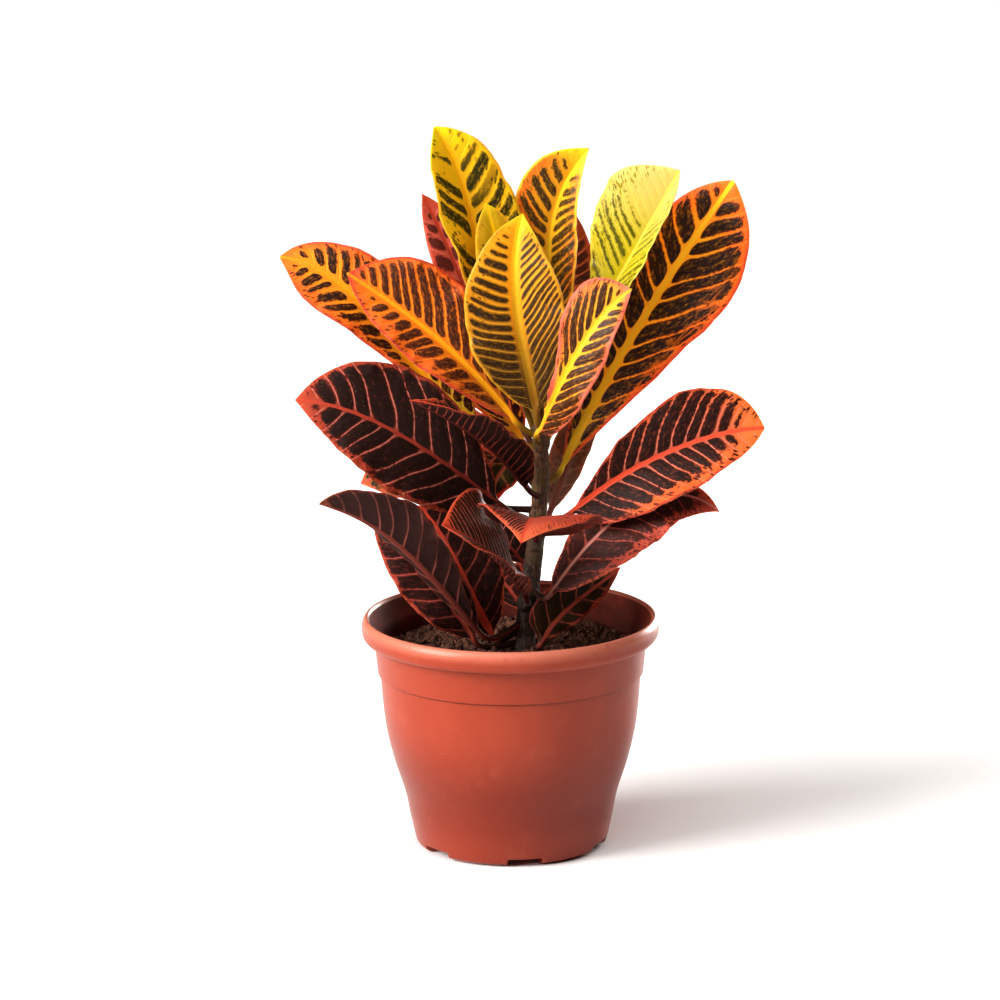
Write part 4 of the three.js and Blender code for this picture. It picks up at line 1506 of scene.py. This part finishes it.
LEAVES: tuple[Leaf, ...] = (
    Leaf("leaf_top_left", 190, ((0, 11, 227), (-11, 17, 264), (-19, 23, 303), (-34, 25, 339)),
         (0.55, -0.8, 0.25), (23, 23), Age.YOUNG, dict(light=(250, 198, 18), outer=(248, 192, 24),
         dark=(52, 48, 12), halo=(128, 110, 14), vein=(0.2, 0.44), tip_gap=0.22, absent=0.25,
         inner_gap=(2.6, 2.6), outer_gap=(1.8, 2.0), ragged=0.6, specks=0.6, mottle=0.8, soft=0.12,
         spacing=8.6), widest=(0.7, 0.6), fold=(30, 30), wave=(1.6, 3.5, 0.2), fullness=0.62),
    Leaf("leaf_bud", 200, ((3, 8, 236), (-1, 10, 260), (-5, 12, 284), (-10, 12, 305)),
         (0.2, -0.95, 0.2), (11, 11), Age.YOUNG, dict(light=(205, 165, 15), outer=(196, 150, 20),
         dark=(110, 90, 10), vein=(0.5, 0.7)), widest=(0.6, 0.6), fold=(20, 10)),
    # Painted shade: the centre leaf's dark base and the dark base of its midrib.
    Leaf("leaf_centre", 197, ((13, -4, 208), (7, -2, 238), (3, 1, 269), (7, 7, 301)),
         (-0.1, -0.97, 0.2), (25, 24), Age.YOUNG, dict(light=(232, 152, 14), outer=(222, 148, 24),
         rim=(202, 148, 36), tip=(240, 186, 28), dark=(54, 34, 8), halo=(120, 76, 10), spacing=4.5,
         vein=(0.1, 0.54), base=(58, 40, 12), base_reach=0.7,
         midrib=((120, 78, 14), (250, 190, 22)), midrib_width=(2.2, 1.5), inner_gap=(3.4, 2.2),
         outer_gap=(3.2, 2.0), tip_gap=0.14, sweep=(0.1, 1.0), ragged=0.4, soft=0.26, net=0.1,
         mottle=0.35, absent=0.0, line=(246, 204, 70), line_share=0.5), fold=(24, 20)),
    Leaf("leaf_top_middle", 197, ((17, 18, 228), (19, 27, 260), (21, 33, 293), (38, 33, 327)),
         (-0.3, -0.92, 0.25), (20, 19), Age.YOUNG, dict(light=(220, 164, 26), outer=(222, 116, 30),
         dark=(64, 46, 14), halo=(140, 98, 18), base=(176, 158, 34),
         midrib=((196, 170, 30), (240, 186, 24)), vein=(0.2, 0.4), spacing=6.0, ragged=0.9,
         absent=0.0, tip_gap=0.2, outer_gap=(4.0, 2.0), mottle=0.9, inner_gap=(2.4, 2.0)),
         widest=(0.76, 0.5), fold=(40, 36)),
    Leaf("leaf_top_middle_back", 193, ((25, 27, 227), (28, 36, 249), (30, 42, 271), (31, 44, 295)),
         (0, -0.97, 0.2), (12, 12), Age.GROWN, dict(light=(168, 84, 40), outer=(140, 60, 34),
         dark=(62, 28, 18), halo=(96, 44, 22), rim=(150, 66, 44), tip=(170, 80, 44),
         vein=(0.12, 0.25), spacing=6.0)),
    Leaf("leaf_top_right", 194, ((25, 6, 218), (42, 10, 252), (61, 15, 285), (80, 18, 319)),
         (-0.7, -0.66, 0.3), (28, 21), Age.NEW, dict(spacing=5.0, ragged=1.5, soft=0.2, specks=0.9,
         tip_gap=0.4, broken=0.8), widest=(0.8, 0.64), fullness=0.53, fold=(38, 38)),
    Leaf("leaf_right_upper", 172, ((24, 8, 178), (46, 18, 219), (75, 30, 265), (106, 34, 311)),
         (-0.1, -0.9, 0.4), (22, 31), Age.GROWN, dict(light=(255, 182, 30), base=(206, 178, 40),
         midrib=((248, 202, 40), (255, 200, 36)), midrib_width=(1.8, 1.0), spacing=11.0,
         vein=(0.06, 0.2), sweep=(0.62, 0.84), outer_gap=(2.5, 4.2), inner_gap=(1.6, 1.6),
         tip_red=0.2, ragged=0.5, net=0.4, dark=(42, 22, 14), rim_width=2.6), widest=(0.68, 0.7),
         fullness=0.6, fold=(20, 8), wave=(1.6, 3, 0.4), waist=(0.47, 0.08)),
    # Painted highlight: the small front leaf's pinkish tip colour.
    Leaf("leaf_small_front", 193, ((13, -7, 199), (22, -14, 221), (37, -20, 249), (57, -18, 270)),
         (-0.3, -0.9, 0.3), (18, 16), Age.GROWN, dict(light=(242, 170, 36), outer=(226, 112, 46),
         rim=(216, 104, 82), tip=(226, 124, 100), base=(190, 84, 36),
         midrib=((240, 180, 30), (248, 186, 40)), dark=(60, 30, 14), halo=(120, 60, 16),
         spacing=6.2, vein=(0.04, 0.3), ragged=0.8, sweep=(1.3, 1.0), rim_width=3.0, soft=0.1,
         inner_gap=(1.6, 1.2), outer_gap=(5.0, 2.6)), widest=(0.8, 0.45)),
    Leaf("leaf_left_upper_front", 195, ((3, -1, 204), (-24, -1, 235), (-50, 1, 257), (-75, 4, 274)),
         (0, -0.85, 0.5), (17, 27), Age.GROWN, dict(light=(224, 122, 20), outer=(216, 100, 28),
         rim=(196, 70, 50), tip=(200, 64, 46), base=(176, 96, 26), dark=(66, 30, 14),
         halo=(128, 56, 14), spacing=7.4, vein=(0.12, 0.36), outer_gap=(7.0, 3.6),
         sweep=(0.45, 0.85), inner_gap=(3.6, 2.2), ragged=0.8, mottle=0.8), widest=(0.5, 0.6)),
    Leaf("leaf_left_upper", 188, ((-14, 8, 202), (-44, 14, 227), (-73, 20, 260), (-107, 24, 278)),
         (0, -0.85, 0.5), (17, 23), Age.GROWN, dict(light=(230, 150, 26), outer=(218, 108, 34),
         rim=(196, 80, 56), base=(220, 186, 46), spacing=7.4, vein=(0.14, 0.4),
         outer_gap=(4.4, 3.6), ragged=0.9, mottle=0.8), widest=(0.76, 0.52), fullness=0.68),
    Leaf("leaf_left_middle", 151,
         ((-5, -7, 166), (-37, -14, 192), (-68, -19, 211), (-99, -20, 219)), (0, -0.85, 0.5),
         (28, 29.5), Age.OLD, dict(inner_gap=(0.2, 0.2), outer_gap=(5.0, 3.0), tip_gap=0.26,
         tip_red=0.24, ragged=0.45, spacing=10.5), widest=(0.42, 0.53)),
    Leaf("leaf_front_left", 166, ((8, -8, 174), (-6, -26, 195), (-24, -44, 213), (-45, -58, 227)),
         (0.3, 0.1, 0.95), (20, 18), Age.OLD, dict(light=(180, 80, 64), tip=(222, 84, 58),
         dark=(44, 20, 14), under=(38, 16, 12), spacing=4.4, vein=(0.14, 0.2), tip_red=0.3,
         sweep=(0.5, -0.4)), widest=(0.5, 0.42), fold=(38, 30)),
    Leaf("leaf_right_middle", 154, ((29, -5, 161), (57, -9, 182), (89, -12, 197), (119, -10, 202)),
         (0, -0.85, 0.5), (24, 24), Age.OLD, dict(light=(172, 84, 60), outer=(208, 98, 46),
         rim=(186, 74, 54), tip=(222, 122, 60), midrib=((196, 70, 42), (204, 82, 54)),
         midrib_width=(1.4, 0.9), spacing=7.4, vein=(0.05, 0.2), outer_gap=(2.0, 9.0), ragged=0.7,
         gloss=0.08, tip_gap=0.36, tip_red=0.3, mottle=0.5), widest=(0.68, 0.42), fullness=0.62),
    Leaf("leaf_front", 145, ((13, -10, 151), (12, -38, 163), (10, -66, 173.2), (5, -88, 167)),
         (0.11, 0, 0.99), (32, 27), Age.OLD, dict(light=(154, 60, 46), outer=(166, 62, 44),
         rim=(176, 68, 46), tip=(196, 94, 54), tip_red=0.25, dark=(46, 22, 18), vein=(0.2, 0.34),
         outer_gap=(40.0, 2.6), under=(64, 26, 20), spacing=3.2, ragged=0.9, soft=0.16,
         rim_width=4.0, sweep=(1.2, 1.6)), fold=(15, 15), waist=(0.95, 0.3)),
    Leaf("leaf_left_folded", 112, ((7, -10, 123), (-2, -25, 140), (-15, -40, 155), (-31, -52, 167)),
         (0.2, -0.5, 0.85), (17, 26), Age.OLD, dict(light=(178, 96, 80), tip=(226, 92, 60),
         dark=(52, 32, 16), spacing=3.6, vein=(0.14, 0.24), ragged=0.8, tip_red=0.25,
         sweep=(1.1, 1.1), mottle=0.7), widest=(0.5, 0.7), fold=(38, 30)),
    Leaf("leaf_left_lower", 107,
         ((-14, -18, 106), (-37, -29, 137), (-60, -34, 160), (-88, -34, 173)), (-0.2, 0.5, 0.8),
         (21, 9), Age.LOW, dict(light=(150, 80, 68), vein=(0.05, 0.09), specks=0.9,
         under=(48, 24, 20), ragged=0.6, tip=(220, 110, 70), mottle=0.6), widest=(0.66, 0.5),
         fold=(36, 30), fullness=0.6),
    Leaf("leaf_left_low_inner", 104, ((-8, -5, 101), (-19, -4, 122), (-30, -1, 144), (-44, 2, 163)),
         (0.25, -0.9, 0.35), (18, 20), Age.LOW, dict(light=(150, 66, 52),
         midrib=((214, 84, 58), (222, 88, 62)), midrib_width=(2.2, 1.5), under=(50, 20, 16))),
    Leaf("leaf_left_low_outer", 97,
         ((-17, -11, 101), (-29, -16, 121), (-45, -16, 141), (-64, -11, 160)), (-0.2, -0.9, 0.35),
         (15, 14), Age.LOW, dict(light=(176, 74, 64))),
    # Painted highlight: the right lower leaf's thin pale midrib, for the gloss along it.
    Leaf("leaf_right_lower", 123, ((19, -14, 124), (40, -10, 150), (68, -6, 168), (98, -9, 162)),
         (0, -0.7, 0.7), (12, 24), Age.LOW, dict(dark=(56, 27, 21), rim=(180, 78, 58),
         outer=(172, 72, 54), outer_gap=(4.0, 9.0), midrib=((184, 118, 104), (200, 138, 124)),
         midrib_width=(0.8, 0.5), vein=(0.04, 0.07), specks=0.9, under=(50, 22, 18), ragged=0.7,
         mottle=0.8)),
    Leaf("leaf_right_low", 98, ((14, -8, 98), (24, -4, 111), (37, 1, 121), (52, 8, 131)),
         (0.3, -0.9, 0.3), (14, 8), Age.LOW, dict(dark=(40, 28, 12), halo=(60, 34, 16),
         light=(104, 58, 34), rim=(124, 46, 36)), widest=(0.35, 0.5), fold=(10, 10)),
    Leaf("leaf_left_behind", 160, ((-14, 4, 165), (-33, 7, 174), (-52, 9, 177), (-70, 10, 172)),
         (0, -0.8, 0.6), (15, 15), Age.LOW, dict(light=(150, 78, 34), dark=(46, 34, 12),
         halo=(84, 60, 16), outer=(176, 84, 34), tip=(196, 96, 50), under=(70, 40, 18))),
    Leaf("leaf_small_behind", 173, ((5, 7, 182), (0, 11, 181), (-6, 13, 173), (-8, 12, 160)),
         (0.2, -0.9, 0.3), (9, 7), Age.LOW, dict(light=(112, 88, 24), dark=(50, 40, 10),
         halo=(74, 58, 14), tip=(206, 74, 50), tip_red=0.4)),
    Leaf("leaf_top_left_back", 184, ((-4, 19, 218), (-16, 28, 250), (-28, 35, 279), (-40, 37, 305)),
         (0.2, -0.9, 0.3), (11, 14), Age.OLD, dict(light=(190, 92, 76), outer=(190, 84, 68),
         rim=(204, 100, 84), dark=(96, 42, 36), halo=(130, 58, 48), vein=(0.2, 0.4), specks=0.7,
         ragged=0.8)),
    Leaf("leaf_right_behind", 150, ((19, 9, 158), (26, 15, 176), (35, 24, 196), (50, 34, 221)),
         (0.2, 0.9, 0.4), (8, 10), Age.LOW, dict(under=(134, 100, 80), light=(160, 120, 96),
         mottle=0.3)),
    Leaf("leaf_back_high", 188, ((15, 14, 194), (17, 43, 218), (18, 75, 240), (18, 105, 250)),
         (0, -0.5, 0.85), (22, 22), Age.GROWN, dict()),
    Leaf("leaf_back_left_high", 181, ((7, 15, 190), (-6, 40, 206), (-20, 66, 219), (-36, 92, 226)),
         (0, -0.5, 0.85), (22, 22), Age.GROWN, dict(light=(246, 130, 16), spacing=8.0),
         widest=(0.6, 0.6)),
    Leaf("leaf_back_right_high", 183, ((19, 21, 192), (32, 48, 205), (46, 75, 215), (61, 100, 220)),
         (0, -0.5, 0.85), (22, 22), Age.GROWN, dict(light=(236, 104, 26), spacing=8.5),
         widest=(0.6, 0.6)),
    Leaf("leaf_back_left_middle", 168,
         ((6, 19, 175), (-9, 43, 179), (-28, 68, 183), (-48, 90, 183)), (0, -0.4, 0.9), (20, 20),
         Age.OLD, dict(spacing=8.5), widest=(0.6, 0.6)),
    Leaf("leaf_back_left_low", 124, ((7, 12, 131), (-6, 36, 140), (-23, 60, 146), (-42, 82, 150)),
         (0, -0.4, 0.9), (17, 17), Age.OLD, dict(spacing=8.0)),
    Leaf("leaf_back_right_low", 112, ((17, 12, 117), (38, 34, 126), (59, 51, 137), (79, 62, 146)),
         (0.2, -0.2, 0.95), (6, 14), Age.LOW, dict()),
    Leaf("leaf_back_low", 104, ((6, 11, 109), (-3, 38, 116), (-14, 62, 120), (-24, 84, 116)),
         (0, -0.2, 1), (17, 13), Age.LOW, dict(spacing=8.0)),
)


def main() -> None:
    """Build the plant, piece by piece."""
    logging.basicConfig(level=logging.INFO, format="%(name)s: %(message)s")
    Studio().build()
    Pot().build()
    PottingMix().build()
    stem = Stem()
    stem.build(LEAVES)
    for number, leaf in enumerate(LEAVES):
        leaf.build(stem, 100 + 10 * number)


if __name__ == "__main__":
    main()
